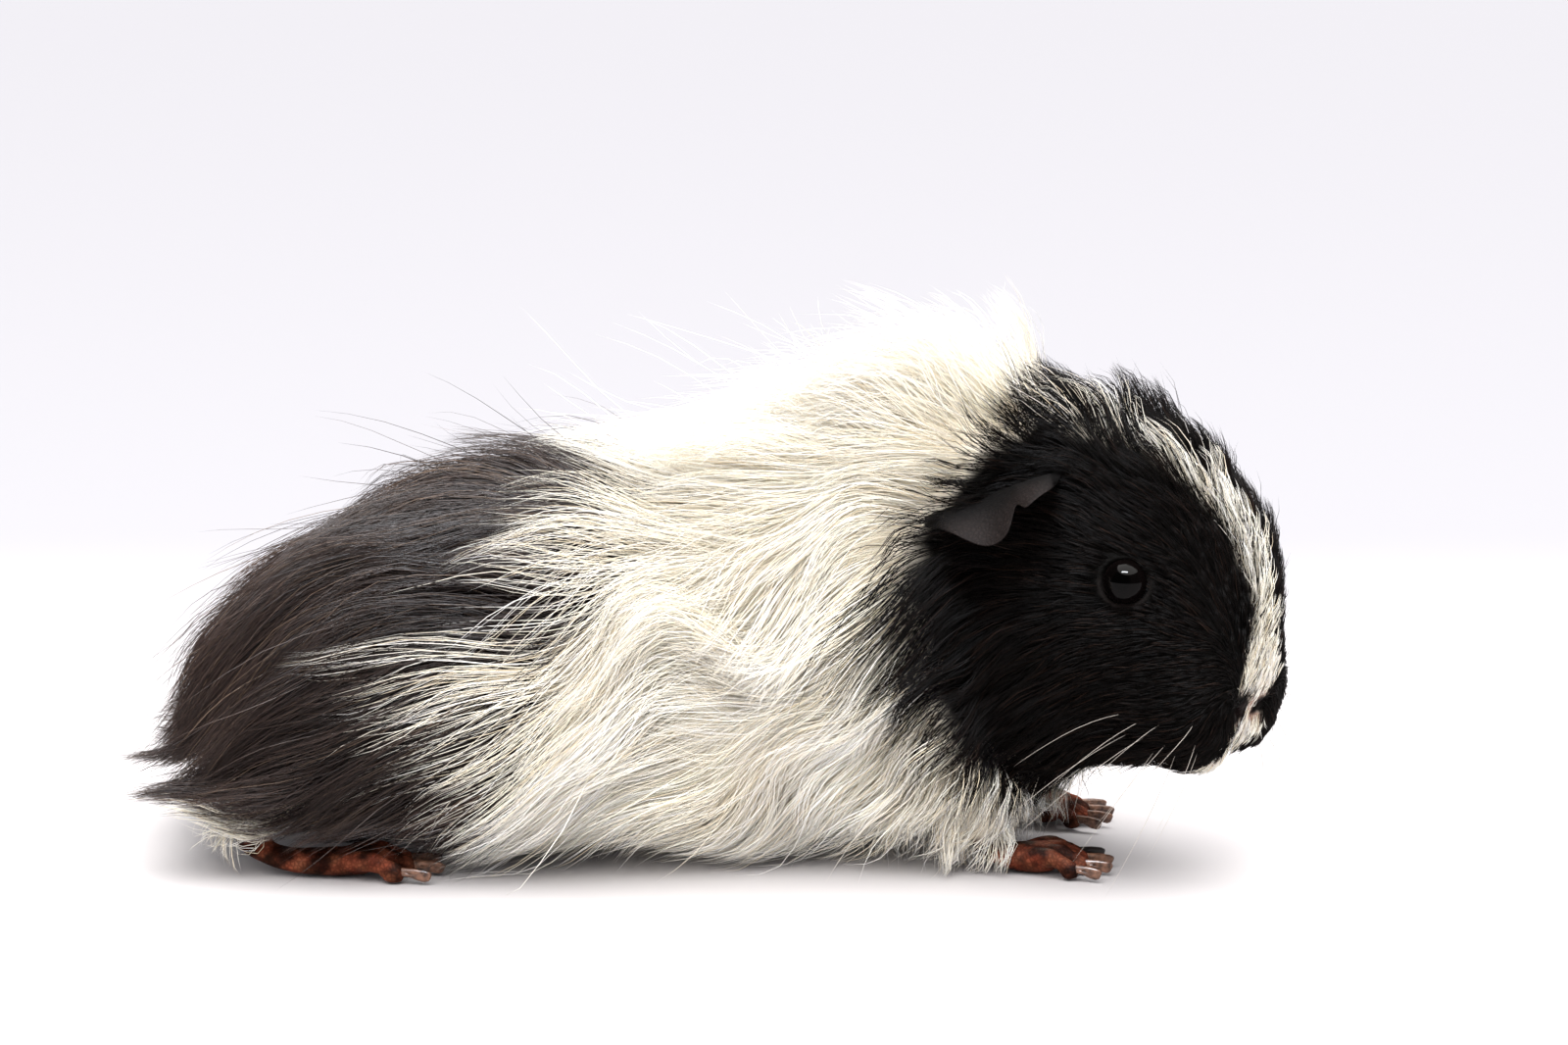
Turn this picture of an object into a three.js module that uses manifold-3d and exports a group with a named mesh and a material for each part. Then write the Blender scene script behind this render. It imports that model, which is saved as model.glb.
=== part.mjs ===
// A long-haired guinea pig crouched on a flat floor, as a still life-size model. Millimetres.
// +X runs from rump to nose, +Y to the animal's left and +Z up. The soles lie at Z = 0, and the origin is
// midway between the extremes of the coat in X and in Y. The head is lowered and turned to its right.
//
// The trunk and the head are lofts through a few stations, with broad locks of hair joined on. The whole
// form is then parted by thin cuts into the regions that a person would name. Eyes, ears, nose, legs, feet
// and claws are pieces of their own, and what lies round them is cut back to leave a gap.
import * as THREE from "three";
import { mergeVertices } from "three/addons/utils/BufferGeometryUtils.js";
import Module from "manifold-3d";

const wasm = await Module();
wasm.setup();
const { Manifold, Mesh: SolidMesh } = wasm;

const V = (x, y, z) => new THREE.Vector3(x, y, z);
const degrees = THREE.MathUtils.degToRad;
const sides = { left: 1, right: -1 };

// Driving dimensions

const gap = 0.35; // clearance between pieces that touch
const fineness = 0.1; // joins and cuts drop detail smaller than this

// Coat of the trunk from rump to throat: station, sideways drift, top, bottom and half width.
const trunkStations = [
  { x: -127, mid: 1, top: 34, bottom: 23, half: 10 },
  { x: -120, mid: 1, top: 43, bottom: 18, half: 22 },
  { x: -112, mid: 1, top: 54, bottom: 14, half: 33 },
  { x: -98, mid: 0, top: 70, bottom: 10, half: 45 },
  { x: -80, mid: 0, top: 84, bottom: 6, half: 52 },
  { x: -58, mid: 0, top: 94.5, bottom: 4, half: 55.5 },
  { x: -34, mid: 0, top: 97.5, bottom: 3, half: 55.5 },
  { x: -10, mid: 0, top: 99, bottom: 3, half: 53 },
  { x: 14, mid: 0, top: 106, bottom: 3, half: 50 },
  { x: 38, mid: -2, top: 116, bottom: 3.5, half: 45 },
  { x: 58, mid: -5, top: 122, bottom: 5, half: 37 },
  { x: 74, mid: -9, top: 125, bottom: 8, half: 30 },
  { x: 87, mid: -14, top: 119, bottom: 12, half: 23 },
  { x: 94, mid: -17, top: 98, bottom: 20, half: 14 },
];
const trunkShape = { rings: 17, around: 20, waist: 0.4, roundTop: 2.15, roundBottom: 3 };

// Head, in a frame of its own: x forwards, y to its left. Each station is a slice across the head that
// leans forwards by lean degrees, and reaches crown above its centre and jaw below it.
const headPivot = V(65, 0, 0);
const headTurn = degrees(-36);
const headStations = [
  { x: -6, z: 62, lean: -4, crown: 38, jaw: 34, half: 24 },
  { x: 3, z: 62, lean: 0, crown: 47, jaw: 42, half: 30.5 },
  { x: 20, z: 62, lean: 6, crown: 49, jaw: 46, half: 33 },
  { x: 38, z: 62, lean: 20, crown: 45, jaw: 46.5, half: 31 },
  { x: 50.5, z: 58, lean: 32, crown: 37, jaw: 43, half: 27 },
  { x: 60, z: 51, lean: 38, crown: 28.5, jaw: 34.5, half: 24 },
  { x: 66.5, z: 46.5, lean: 34, crown: 19.5, jaw: 25.5, half: 23 },
  { x: 70.5, z: 43, lean: 28, crown: 13.5, jaw: 18.5, half: 22 },
  { x: 73, z: 41, lean: 24, crown: 8.5, jaw: 13, half: 19 },
];
const headShape = { rings: 11, around: 16, pear: 0.28 };

const eye = { radius: 5.3, x: 52.6, z: 71, side: 19.8 };
const nose = { x: 72.4, z: 41, length: 3, half: 5.6, height: 3.6 };
const ear = {
  front: V(34.5, 20.5, 92.5), // where the ear's root begins
  back: V(4, 26.5, 81.5),
  spread: 17, // how far the flap stands out from the head
  forward: 12, // how far its rim lies ahead of its root
  droop: 6,
  thick: 1.3,
  wave: 1.7,
};

const foreFoot = {
  toes: 4, length: 15, half: 7, toeLength: 9.5, toeRadius: 2.2, fan: 12, clawLength: 5.5,
};
const hindFoot = {
  toes: 3, length: 27, half: 6.4, toeLength: 11, toeRadius: 2.5, fan: 10, clawLength: 6.5,
};
// Wrist or heel of each foot, and the way that it points, in degrees from +X.
const feet = {
  fore_left: { size: foreFoot, heel: V(70, 17, 0), turn: -8, darkClaw: null },
  fore_right: { size: foreFoot, heel: V(66, -29, 0), turn: -7, darkClaw: 3 },
  hind_left: { size: hindFoot, heel: V(-98, 34, 0), turn: 6, darkClaw: null },
  hind_right: { size: hindFoot, heel: V(-103, -33, 0), turn: -4, darkClaw: null },
};

const colours = {
  white: { color: 0xe9e3d8, roughness: 0.75 },
  black: { color: 0x171413, roughness: 0.6 },
  brown: { color: 0x3a302c, roughness: 0.62 },
  bare: { color: 0xc07a5e, roughness: 0.55 },
  leather: { color: 0x3b3231, roughness: 0.6 },
  gloss: { color: 0x060505, roughness: 0.05 },
  horn: { color: 0xb89a80, roughness: 0.35 },
  darkHorn: { color: 0x1c1715, roughness: 0.35 },
};
const materials = Object.fromEntries(
  Object.entries(colours).map(([name, look]) => [
    name,
    new THREE.MeshStandardMaterial({ ...look, metalness: 0 }),
  ]),
);

// General helpers

const lerp = THREE.MathUtils.lerp;
const power = (value, exponent) => Math.sign(value) * Math.abs(value) ** exponent;

// A station between the listed ones, at a share from 0 to 1 of the list, on a Catmull-Rom spline.
function stationAt(stations, share) {
  const place = share * (stations.length - 1);
  const i = Math.min(Math.floor(place), stations.length - 2);
  const t = place - i;
  const at = (k) => stations[THREE.MathUtils.clamp(k, 0, stations.length - 1)];
  const found = {};
  for (const key of Object.keys(stations[0])) {
    const [a, b, c, d] = [at(i - 1)[key], at(i)[key], at(i + 1)[key], at(i + 2)[key]];
    found[key] =
      b + 0.5 * t * (c - a + t * (2 * a - 5 * b + 4 * c - d + t * (3 * (b - c) + d - a)));
  }
  return found;
}

// Closed skin over rings of equal length. Each end is closed with a fan to the ring's middle, or to a tip.
function loft(rings, tip = null) {
  const n = rings[0].length;
  const points = rings.flat();
  const middle = (ring) => ring.reduce((sum, p) => sum.add(p), V(0, 0, 0)).divideScalar(n);
  const first = points.push(middle(rings[0])) - 1;
  const last = points.push(tip ?? middle(rings.at(-1))) - 1;
  const index = [];
  for (let r = 0; r + 1 < rings.length; r++)
    for (let k = 0; k < n; k++) {
      const [a, b] = [r * n + k, r * n + ((k + 1) % n)];
      index.push(a, b, a + n, b, b + n, a + n);
    }
  const end = (rings.length - 1) * n;
  for (let k = 0; k < n; k++) {
    index.push(first, (k + 1) % n, k);
    index.push(last, end + k, end + ((k + 1) % n));
  }
  return new THREE.BufferGeometry().setFromPoints(points).setIndex(index);
}

// A geometry as a manifold solid, turned to face outwards.
function solidOf(geometry) {
  const bare = geometry.clone();
  bare.deleteAttribute("normal");
  bare.deleteAttribute("uv");
  const merged = mergeVertices(bare, 1e-4);
  const make = (triVerts) =>
    new Manifold(
      new SolidMesh({
        numProp: 3,
        vertProperties: merged.attributes.position.array,
        triVerts,
        tolerance: fineness,
      }),
    );
  const index = new Uint32Array(merged.index.array);
  const made = make(index);
  return made.volume() > 0 ? made : make(index.slice().reverse());
}

function geometryOf(solid) {
  const { vertProperties, triVerts } = solid.getMesh();
  return new THREE.BufferGeometry()
    .setAttribute("position", new THREE.BufferAttribute(vertProperties, 3))
    .setIndex(new THREE.BufferAttribute(triVerts, 1));
}

const joined = (solids) => solids.reduce((sum, s) => sum.add(s));
// The largest piece of a solid that a cut has left in several.
const largest = (solid) =>
  solid.decompose().reduce((best, s) => (s.volume() > best.volume() ? s : best));

// A tapering limb, toe, claw or lock along a curve. Its section is an ellipse that is wide across
// the outward direction and thick along it. radius(t) gives the half width.
function taper({ path, radius, flat = 1, outward, around = 4, steps = 3, tip = false }) {
  const curve = new THREE.CatmullRomCurve3(path);
  const rings = [];
  for (let i = 0; i <= steps; i++) {
    const t = i / (tip ? steps + 1 : steps);
    const centre = curve.getPoint(t);
    const along = curve.getTangent(t);
    const up = outward(centre).addScaledVector(along, -outward(centre).dot(along)).normalize();
    const across = V(0, 0, 0).crossVectors(along, up);
    const half = radius(t);
    rings.push(
      Array.from({ length: around }, (_, k) => {
        const angle = (2 * Math.PI * k) / around;
        return centre
          .clone()
          .addScaledVector(across, half * Math.cos(angle))
          .addScaledVector(up, half * flat * Math.sin(angle));
      }),
    );
  }
  return loft(rings, tip ? curve.getPoint(1) : null);
}

// Trunk

// Point of the trunk's coat at a share of its length and an angle round it: 0 left, 90 degrees up.
function trunkPoint(share, angle, lift = 0) {
  const s = stationAt(trunkStations, share);
  const centre = lerp(s.bottom, s.top, trunkShape.waist);
  const over = Math.sin(angle) > 0;
  const round = 2 / (over ? trunkShape.roundTop : trunkShape.roundBottom);
  const reach = (over ? s.top - centre : centre - s.bottom) + lift;
  return V(
    s.x,
    s.mid + (s.half + lift) * power(Math.cos(angle), round),
    centre + reach * power(Math.sin(angle), round),
  );
}

// Shares of the trunk's length crowd towards its blunt ends, where it curves most.
const evenShare = (i, count) => 0.5 - 0.5 * Math.cos((Math.PI * (i + 0.6)) / (count + 0.2));

function trunkLoft() {
  const { rings, around } = trunkShape;
  return loft(
    Array.from({ length: rings }, (_, i) =>
      Array.from({ length: around }, (_, k) =>
        trunkPoint(lerp(i / (rings - 1), evenShare(i, rings - 1), 0.5), (2 * Math.PI * k) / around),
      ),
    ),
  );
}

const fromSpine = (p) => V(0, p.y, p.z - 45).normalize();
const lockWidth = (half) => (t) => half * (0.55 + 0.9 * t) * (1 - t) ** 0.75 + 0.25;

// A lock of hair that leaves the trunk at a share and angle, runs along it and ends at a free tip.
function trunkLock(from, to, tip, half, lift = 1) {
  const path = [
    trunkPoint(from.share, from.angle, -2.5),
    trunkPoint((from.share + to.share) / 2, (from.angle + to.angle) / 2, 0.4),
    trunkPoint(to.share, to.angle, lift),
    tip,
  ];
  return taper({ path, radius: lockWidth(half), flat: 0.36, outward: fromSpine, tip: true });
}

// Angles are given for the left side; the right side mirrors them.
const mirrored = (angle, side) => (side > 0 ? angle : Math.PI - angle);

// Locks that sweep back over the rump and hang past it.
function rumpLocks() {
  const locks = [];
  const count = 4;
  for (const side of Object.values(sides))
    for (let i = 0; i < count; i++) {
      const t = i / (count - 1);
      const angle = degrees(lerp(82, -18, t));
      const share = 0.11 + 0.05 * Math.sin(i * 2.3);
      const tip = V(
        lerp(-133, -126, t) - 6 * Math.abs(Math.sin(i * 1.9)),
        side * lerp(5, 35, t),
        lerp(33, 17, t) + 3 * Math.sin(i * 2.7),
      );
      locks.push(
        trunkLock(
          { share: share + 0.2, angle: mirrored(angle, side) },
          { share: share - 0.03, angle: mirrored(angle - 0.1, side) },
          tip,
          10 - t,
          1.5,
        ),
      );
    }
  return locks;
}

// The long fringe of the flanks, falling back and down to just above the floor.
function flankLocks() {
  const locks = [];
  const count = 5;
  for (const side of Object.values(sides))
    for (let i = 0; i < count; i++) {
      const share = lerp(0.34, 0.74, i / (count - 1));
      const root = trunkPoint(share, mirrored(0, side));
      const foot = V(
        root.x - lerp(28, 8, i / (count - 1)),
        side * (Math.abs(root.y) - 1 + 2.5 * Math.sin(i * 2.1)),
        2.2 + 1.1 * Math.sin(i * 1.7 + side),
      );
      locks.push(
        trunkLock(
          { share: share + 0.05, angle: mirrored(degrees(38), side) },
          { share: share - 0.03, angle: mirrored(degrees(-28), side) },
          foot,
          9,
          1.2,
        ),
      );
    }
  return locks;
}

// Upper locks of the back, each laid over the one behind.
function backLocks() {
  const locks = [];
  const count = 3;
  for (const side of Object.values(sides))
    for (let i = 0; i < count; i++) {
      const share = lerp(0.3, 0.66, i / (count - 1));
      const high = mirrored(degrees(74), side);
      const low = mirrored(degrees(34 - 5 * Math.sin(i * 2)), side);
      const end = trunkPoint(share - 0.13, low, 3.2);
      const from = { share: share + 0.04, angle: high };
      locks.push(trunkLock(from, { share: share - 0.06, angle: low }, end, 8.5));
    }
  return locks;
}

// The mane rises behind the head and lies over the nape.
function maneLocks() {
  const locks = [];
  const count = 3;
  for (let i = 0; i < count; i++) {
    const angle = degrees(lerp(128, 52, i / (count - 1)));
    const middle = trunkPoint(0.8, angle, 1);
    const tip = trunkPoint(0.86, angle, 5).add(V(0, 0, 1.5));
    const path = [trunkPoint(0.68, angle, -2.5), middle, tip];
    locks.push(taper({ path, radius: lockWidth(9), flat: 0.4, outward: fromSpine, tip: true }));
  }
  return locks;
}

// Head

function headPoint(share, angle, lift = 0) {
  const s = stationAt(headStations, share);
  const lean = degrees(s.lean);
  const rise = Math.sin(angle) * ((Math.sin(angle) > 0 ? s.crown : s.jaw) + lift);
  const wide = Math.cos(angle) * (s.half * (1 - headShape.pear * Math.sin(angle)) + lift);
  return V(s.x + rise * Math.sin(lean), wide, s.z + rise * Math.cos(lean));
}

function headLoft() {
  const { rings, around } = headShape;
  const tip = headPoint(1, 0).setY(0);
  const forwards = V(1.2, 0, -0.5);
  return loft(
    Array.from({ length: rings }, (_, i) =>
      Array.from({ length: around }, (_, k) =>
        headPoint(i / (rings - 1), (2 * Math.PI * k) / around),
      ),
    ),
    tip.add(forwards),
  );
}

const fromSkull = (p) => V(0, p.y, p.z - 58).normalize();

// Hair of the cheeks fans back over the neck, and a crest stands on the crown.
function headLocks() {
  const locks = [];
  const cheek = 4;
  for (const side of Object.values(sides))
    for (let i = 0; i < cheek; i++) {
      const angle = mirrored(degrees(lerp(22, -72, i / (cheek - 1))), side);
      const middle = headPoint(0.2, angle, 1.2);
      const tip = headPoint(0.1, angle, 3).add(V(-11, side * 1.5, -3 - 0.5 * i));
      const path = [headPoint(0.4, angle, -2.5), middle, tip];
      locks.push(taper({ path, radius: lockWidth(6.5), flat: 0.34, outward: fromSkull, tip: true }));
    }
  const crest = 3;
  for (let i = 0; i < crest; i++) {
    const t = i / (crest - 1);
    const root = headPoint(lerp(0.56, 0.3, t), degrees(90 + 16 * Math.sin(i * 2.4)), -2);
    const path = [root, root.clone().add(V(-4, 0, 4.5)), root.clone().add(V(-10, 0, 7.5))];
    const outward = () => V(0.7, 0, 0.7);
    locks.push(taper({ path, radius: lockWidth(3.6), flat: 0.5, outward, steps: 2, tip: true }));
  }
  return locks;
}

const ball = (radius, scale = V(1, 1, 1), segments = 10) =>
  new THREE.SphereGeometry(radius, segments, Math.round(segments * 0.7)).scale(scale.x, scale.y, scale.z);

const eyeBall = (side, grow = 0) =>
  ball(eye.radius + grow).translate(eye.x, side * eye.side, eye.z);

const nosePad = (grow = 0) =>
  ball(1, V(nose.length + grow, nose.half + grow, nose.height + grow), 10).translate(nose.x, 0, nose.z);

// The ear is a thin flap, folded outwards and down from a root that runs along the side of the head.
function earFlap(side, grow = 0) {
  const [along, across] = [11, 3];
  const thick = ear.thick / 2 + grow;
  const rootDepth = 3;
  const surface = (s, r) => {
    const root = ear.front.clone().lerp(ear.back, s);
    const petal = Math.sin(Math.PI * Math.min(1, s * 0.93 + 0.05)) ** 0.6;
    const notch = 1 - 0.34 * Math.exp(-(((s - 0.3) / 0.07) ** 2));
    const reach = r * petal * notch;
    const ripple = ear.wave * Math.sin(s * 9.5) * r;
    const fold = Math.sin(Math.PI * 0.62 * r);
    const out = ear.spread * reach + 0.5 * ripple;
    return root.add(V(ear.forward * reach, out, ripple + 5 * fold * petal - (ear.droop + 5) * reach ** 1.6));
  };
  const rings = [];
  for (let i = 0; i <= along; i++) {
    const s = i / along;
    const row = (lift, order) =>
      order.map((j) => {
        const p = surface(s, (j / across) * (1 + (1.5 * grow) / ear.spread));
        const inwards = j ? 0 : rootDepth + grow;
        return V(p.x, side * (p.y - inwards), p.z + lift);
      });
    const order = Array.from({ length: across + 1 }, (_, j) => j);
    const ring = [...row(thick, order), ...row(-thick, order.slice().reverse())];
    const end = i === 0 ? grow : i === along ? -grow : 0;
    rings.push(ring.map((p) => p.add(V(end, 0, 0))));
  }
  return loft(rings);
}

// Legs and feet

const upwards = () => V(0, 0, 1);
const turned = (turn) => V(1, 0, 0).applyAxisAngle(V(0, 0, 1), degrees(turn));

// One toe arches over its knuckle down to the floor. Distances run forwards from the foot's root.
function toe(size, spot) {
  const { from, way } = spot;
  const at = (forward, up) => from.clone().addScaledVector(way, forward).add(V(0, 0, up));
  const path = [
    at(-4, 3.6),
    at(size.toeLength * 0.4, 4.7),
    at(size.toeLength * 0.8, 3),
    at(size.toeLength, 2.1),
  ];
  const radius = (t) => size.toeRadius * (1.12 - 0.28 * t);
  return taper({ path, radius, outward: upwards, around: 5 });
}

function claw(size, spot) {
  const { from, way } = spot;
  const at = (forward, up) =>
    from.clone().addScaledVector(way, size.toeLength + 2 * gap + forward).add(V(0, 0, up));
  const path = [at(0, 2.1), at(size.clawLength * 0.5, 2.2), at(size.clawLength, 0.6)];
  const radius = (t) => 1.3 * (1 - t) ** 0.6 + 0.2;
  return taper({ path, radius, outward: upwards, around: 5, tip: true });
}

// Where each toe leaves the foot, and its direction.
function toeSpots({ size, heel, turn }) {
  return Array.from({ length: size.toes }, (_, i) => {
    const offset = i - (size.toes - 1) / 2;
    const way = turned(turn + size.fan * offset);
    const straight = turned(turn);
    const across = V(-straight.y, straight.x, 0);
    const from = heel
      .clone()
      .addScaledVector(straight, size.length - 1.6 * Math.abs(offset))
      .addScaledVector(across, (offset * size.half * 1.5) / (size.toes - 1));
    return { from, way };
  });
}

function sole(name) {
  const { size, heel, turn } = feet[name];
  const hind = name.startsWith("hind");
  const at = (forward, up) => heel.clone().addScaledVector(turned(turn), forward).add(V(0, 0, up));
  const path = [
    at(-2, hind ? 10 : 7),
    at(size.length * 0.3, hind ? 4.2 : 3.6),
    at(size.length * 0.75, 3.4),
    at(size.length + 1.5, 3.4),
  ];
  return taper({
    path,
    radius: (t) => size.half * (0.78 + 0.3 * t - 0.12 * t * t),
    flat: 0.62,
    outward: upwards,
    around: 7,
    steps: 4,
  });
}

const toes = (name) => toeSpots(feet[name]).map((spot) => toe(feet[name].size, spot));
const claws = (name) => toeSpots(feet[name]).map((spot) => claw(feet[name].size, spot));

// The furred part of each leg that shows below the trunk.
function shank(name) {
  const { heel, turn } = feet[name];
  const hind = name.startsWith("hind");
  const side = Math.sign(heel.y);
  const steps = hind
    ? [V(2, 0, 6.5), V(1, -side, 17), V(14, -side * 5, 32)]
    : [V(1, 0, 8), V(-3, 0, 21), V(-10, side * 2, 38)];
  return taper({
    path: steps.map((step) => heel.clone().add(step)),
    radius: (t) => (hind ? 7 : 8.2) + 4 * t,
    flat: 0.9,
    outward: () => V(1, 0, 0.3).applyAxisAngle(V(0, 0, 1), degrees(turn)),
    around: 7,
  });
}

const far = 400;
const underFloor = solidOf(new THREE.BoxGeometry(600, 400, 40).translate(0, 0, -20));

// Assembly

const headFrame = new THREE.Matrix4().makeRotationZ(headTurn).setPosition(headPivot);
const inHead = (solid) => solid.transform(headFrame.toArray());
const inPlace = (solid) => solid;

const animal = new THREE.Group();

function addPiece(name, solid, material) {
  const mesh = new THREE.Mesh(geometryOf(largest(solid)), materials[material]);
  mesh.name = name;
  animal.add(mesh);
}

// Everything on the near side of a plane through x, z, whose way out is pitched down by some degrees.
const ahead = (x, z, pitch, frame = inPlace) => (grow) => {
  const box = new THREE.BoxGeometry(far, far, far).translate(far / 2 - grow, 0, 0);
  return frame(solidOf(box.rotateY(degrees(pitch)).translate(x, 0, z)));
};

const block = (lo, hi) => (grow) => {
  const size = hi.clone().sub(lo).addScalar(2 * grow);
  const box = new THREE.BoxGeometry(size.x, size.y, size.z);
  return solidOf(box.translate(...lo.clone().add(hi).multiplyScalar(0.5).toArray()));
};

// An oval drum that lies across the animal, from the distance inner outwards on one side.
const drum = (side, { x, z, wide, high, inner }, frame = inPlace) => (grow) => {
  const shape = new THREE.CylinderGeometry(1, 1, far, 12).scale(wide + grow, 1, high + grow);
  return frame(solidOf(shape.translate(x, side * (far / 2 + inner - grow), z)));
};

const both = (a, b) => (grow) => a(grow).intersect(b(grow));

// The parts of the flesh and coat, in the order in which they are cut away. What is left is the barrel.
function regions() {
  const found = [];
  const part = (name, material, cutter) => found.push({ name, material, cutter });
  for (const [word, side] of Object.entries(sides)) {
    for (const end of ["fore", "hind"]) {
      const { size, heel } = feet[`${end}_${word}`];
      const fore = end === "fore";
      const [y0, y1] = [heel.y - 17, heel.y + 17];
      const tip = heel.x + size.length + size.toeLength + 4;
      part(`${end}foot_${word}`, "bare", block(V(heel.x + (fore ? 2 : -9), y0, -9), V(tip, y1, 9.5)));
      part(`${end}leg_${word}`, "white", block(V(heel.x - 16, y0, -9), V(heel.x + 15, y1, fore ? 32 : 26)));
    }
    const cheek = { x: 27, z: 45, wide: 27, high: 18, inner: 15 };
    part(`cheek_${word}`, "black", drum(side, cheek, inHead));
  }
  part("muzzle", "white", ahead(65, 45, 38, inHead));
  part("lower_jaw", "black", both(ahead(24, 30, -25, inHead), ahead(70, 32, 86, inHead)));
  part("cranium", "black", both(ahead(6, 45, 18, inHead), ahead(20, 22, -86, inHead)));
  part("neck", "white", both(ahead(44, 80, 10), ahead(44, 52, -84)));
  part("chest", "white", ahead(44, 80, 10));
  part("shoulders", "white", ahead(0, 50, 8));
  for (const [word, side] of Object.entries(sides))
    part(`haunch_${word}`, "brown", drum(side, { x: -78, z: 32, wide: 27, high: 26, inner: 26 }));
  part("rump", "brown", ahead(-50, 50, 186));
  return found;
}

// Flesh and coat in one, less what the separate pieces take.
function wholeForm() {
  const hair = [...rumpLocks(), ...flankLocks(), ...backLocks(), ...maneLocks()];
  const limbs = Object.keys(feet).flatMap((name) => [sole(name), shank(name), ...toes(name)]);
  const trunk = joined([trunkLoft(), ...hair, ...limbs].map(solidOf));
  const skull = inHead(joined([headLoft(), ...headLocks()].map(solidOf)));
  const cuts = [inHead(solidOf(nosePad(gap)))];
  for (const side of Object.values(sides))
    cuts.push(inHead(solidOf(eyeBall(side, gap))), inHead(solidOf(earFlap(side, 2 * gap))));
  return trunk.add(skull).subtract(joined(cuts)).subtract(underFloor);
}

function build() {
  let rest = wholeForm();
  for (const { name, material, cutter } of regions()) {
    addPiece(name, rest.intersect(cutter(0)), material);
    rest = rest.subtract(cutter(gap));
  }
  addPiece("barrel", rest, "white");
  addPiece("nose", inHead(solidOf(nosePad())), "leather");
  for (const [word, side] of Object.entries(sides)) {
    addPiece(`eye_${word}`, inHead(solidOf(eyeBall(side))), "gloss");
    addPiece(`ear_${word}`, inHead(solidOf(earFlap(side))), "leather");
  }
  for (const [name, { darkClaw }] of Object.entries(feet))
    claws(name).forEach((made, i) =>
      addPiece(`claw_${name}_${i + 1}`, solidOf(made), i === darkClaw ? "darkHorn" : "horn"),
    );
}

build();

// Centres the whole over the origin.
animal.updateMatrixWorld(true);
const middle = new THREE.Box3().setFromObject(animal, true).getCenter(V(0, 0, 0));
animal.position.set(-middle.x, -middle.y, 0);

export default animal;
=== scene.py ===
import math
import bpy
import numpy as np
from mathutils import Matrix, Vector, kdtree
from mathutils.bvhtree import BVHTree


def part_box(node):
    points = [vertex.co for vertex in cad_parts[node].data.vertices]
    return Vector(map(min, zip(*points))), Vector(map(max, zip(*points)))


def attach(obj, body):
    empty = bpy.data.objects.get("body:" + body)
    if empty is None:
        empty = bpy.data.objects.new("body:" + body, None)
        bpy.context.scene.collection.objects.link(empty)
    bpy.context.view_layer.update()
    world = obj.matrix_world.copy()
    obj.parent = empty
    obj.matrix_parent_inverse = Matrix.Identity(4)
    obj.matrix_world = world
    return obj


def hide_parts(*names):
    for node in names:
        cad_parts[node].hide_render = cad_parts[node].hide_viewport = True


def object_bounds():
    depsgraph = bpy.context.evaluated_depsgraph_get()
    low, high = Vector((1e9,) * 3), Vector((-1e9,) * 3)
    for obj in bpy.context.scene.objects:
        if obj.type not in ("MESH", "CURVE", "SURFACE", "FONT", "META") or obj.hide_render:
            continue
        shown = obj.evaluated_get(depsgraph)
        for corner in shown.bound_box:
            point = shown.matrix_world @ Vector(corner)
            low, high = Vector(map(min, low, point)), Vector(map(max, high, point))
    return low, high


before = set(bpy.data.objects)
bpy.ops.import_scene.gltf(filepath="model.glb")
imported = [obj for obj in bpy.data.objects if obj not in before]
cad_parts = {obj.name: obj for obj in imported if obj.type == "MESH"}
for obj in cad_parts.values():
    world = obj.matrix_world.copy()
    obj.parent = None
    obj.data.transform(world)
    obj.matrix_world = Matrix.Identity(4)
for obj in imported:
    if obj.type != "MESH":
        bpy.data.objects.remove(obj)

cadLow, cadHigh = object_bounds()
bpy.ops.object.select_all(action="DESELECT")

# Shapes are drawn in millimetres in the maker's own frame: +X to the nose, +Y to the animal's left.
# The head has a frame of its own, turned about a pivot in the neck.
headPlace = {"pivot": (65.0, 0.0, 0.0), "turn": -36.0}
eyeball = {"radius": 5.3, "place": (52.6, 19.8, 71.0), "looks": (0.30, 1.0, 0.18)}


def spin(points, degrees):
    a = math.radians(degrees)
    c, s = math.cos(a), math.sin(a)
    return np.stack([c * points[..., 0] - s * points[..., 1],
                     s * points[..., 0] + c * points[..., 1], points[..., 2]], -1)


def outOfHead(points):
    return spin(np.asarray(points, float), headPlace["turn"]) + np.array(headPlace["pivot"])


def intoHead(points):
    return spin(np.asarray(points, float) - np.array(headPlace["pivot"]), -headPlace["turn"])


def onSide(point, side):
    return np.array((point[0], side * point[1], point[2]), float)


low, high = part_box("eye_right")
eyeMiddle = np.array([(a + b) / 2 for a, b in zip(low, high)]) * 1000
shift = eyeMiddle - outOfHead(onSide(eyeball["place"], -1))
shift[2] = 0.0


def toScene(points):
    return (np.asarray(points, float) + shift) * 0.001


view = {"aim": (20.1, 0.0, 76.4), "away": 900.0, "rise": 10.0, "mmPerPixel": 0.23, "width": 1600}


def makeCamera():
    rise = math.radians(view["rise"])
    aim = Vector(view["aim"]) * 0.001
    eye = aim + Vector((0, -math.cos(rise), math.sin(rise))) * view["away"] * 0.001
    bpy.ops.object.camera_add(location=eye)
    camera = bpy.context.object
    camera.rotation_euler = (aim - eye).to_track_quat("-Z", "Y").to_euler()
    camera.data.sensor_width = 36.0
    camera.data.lens = 36.0 * view["away"] / (view["mmPerPixel"] * view["width"])
    camera.data.clip_start = 0.01
    camera.data.clip_end = 200.0
    bpy.context.scene.camera = camera


def linear(hexColour):
    channels = [int(hexColour[i:i + 2], 16) / 255 for i in (0, 2, 4)]
    return [c / 12.92 if c <= 0.04045 else ((c + 0.055) / 1.055) ** 2.4 for c in channels] + [1.0]


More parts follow.
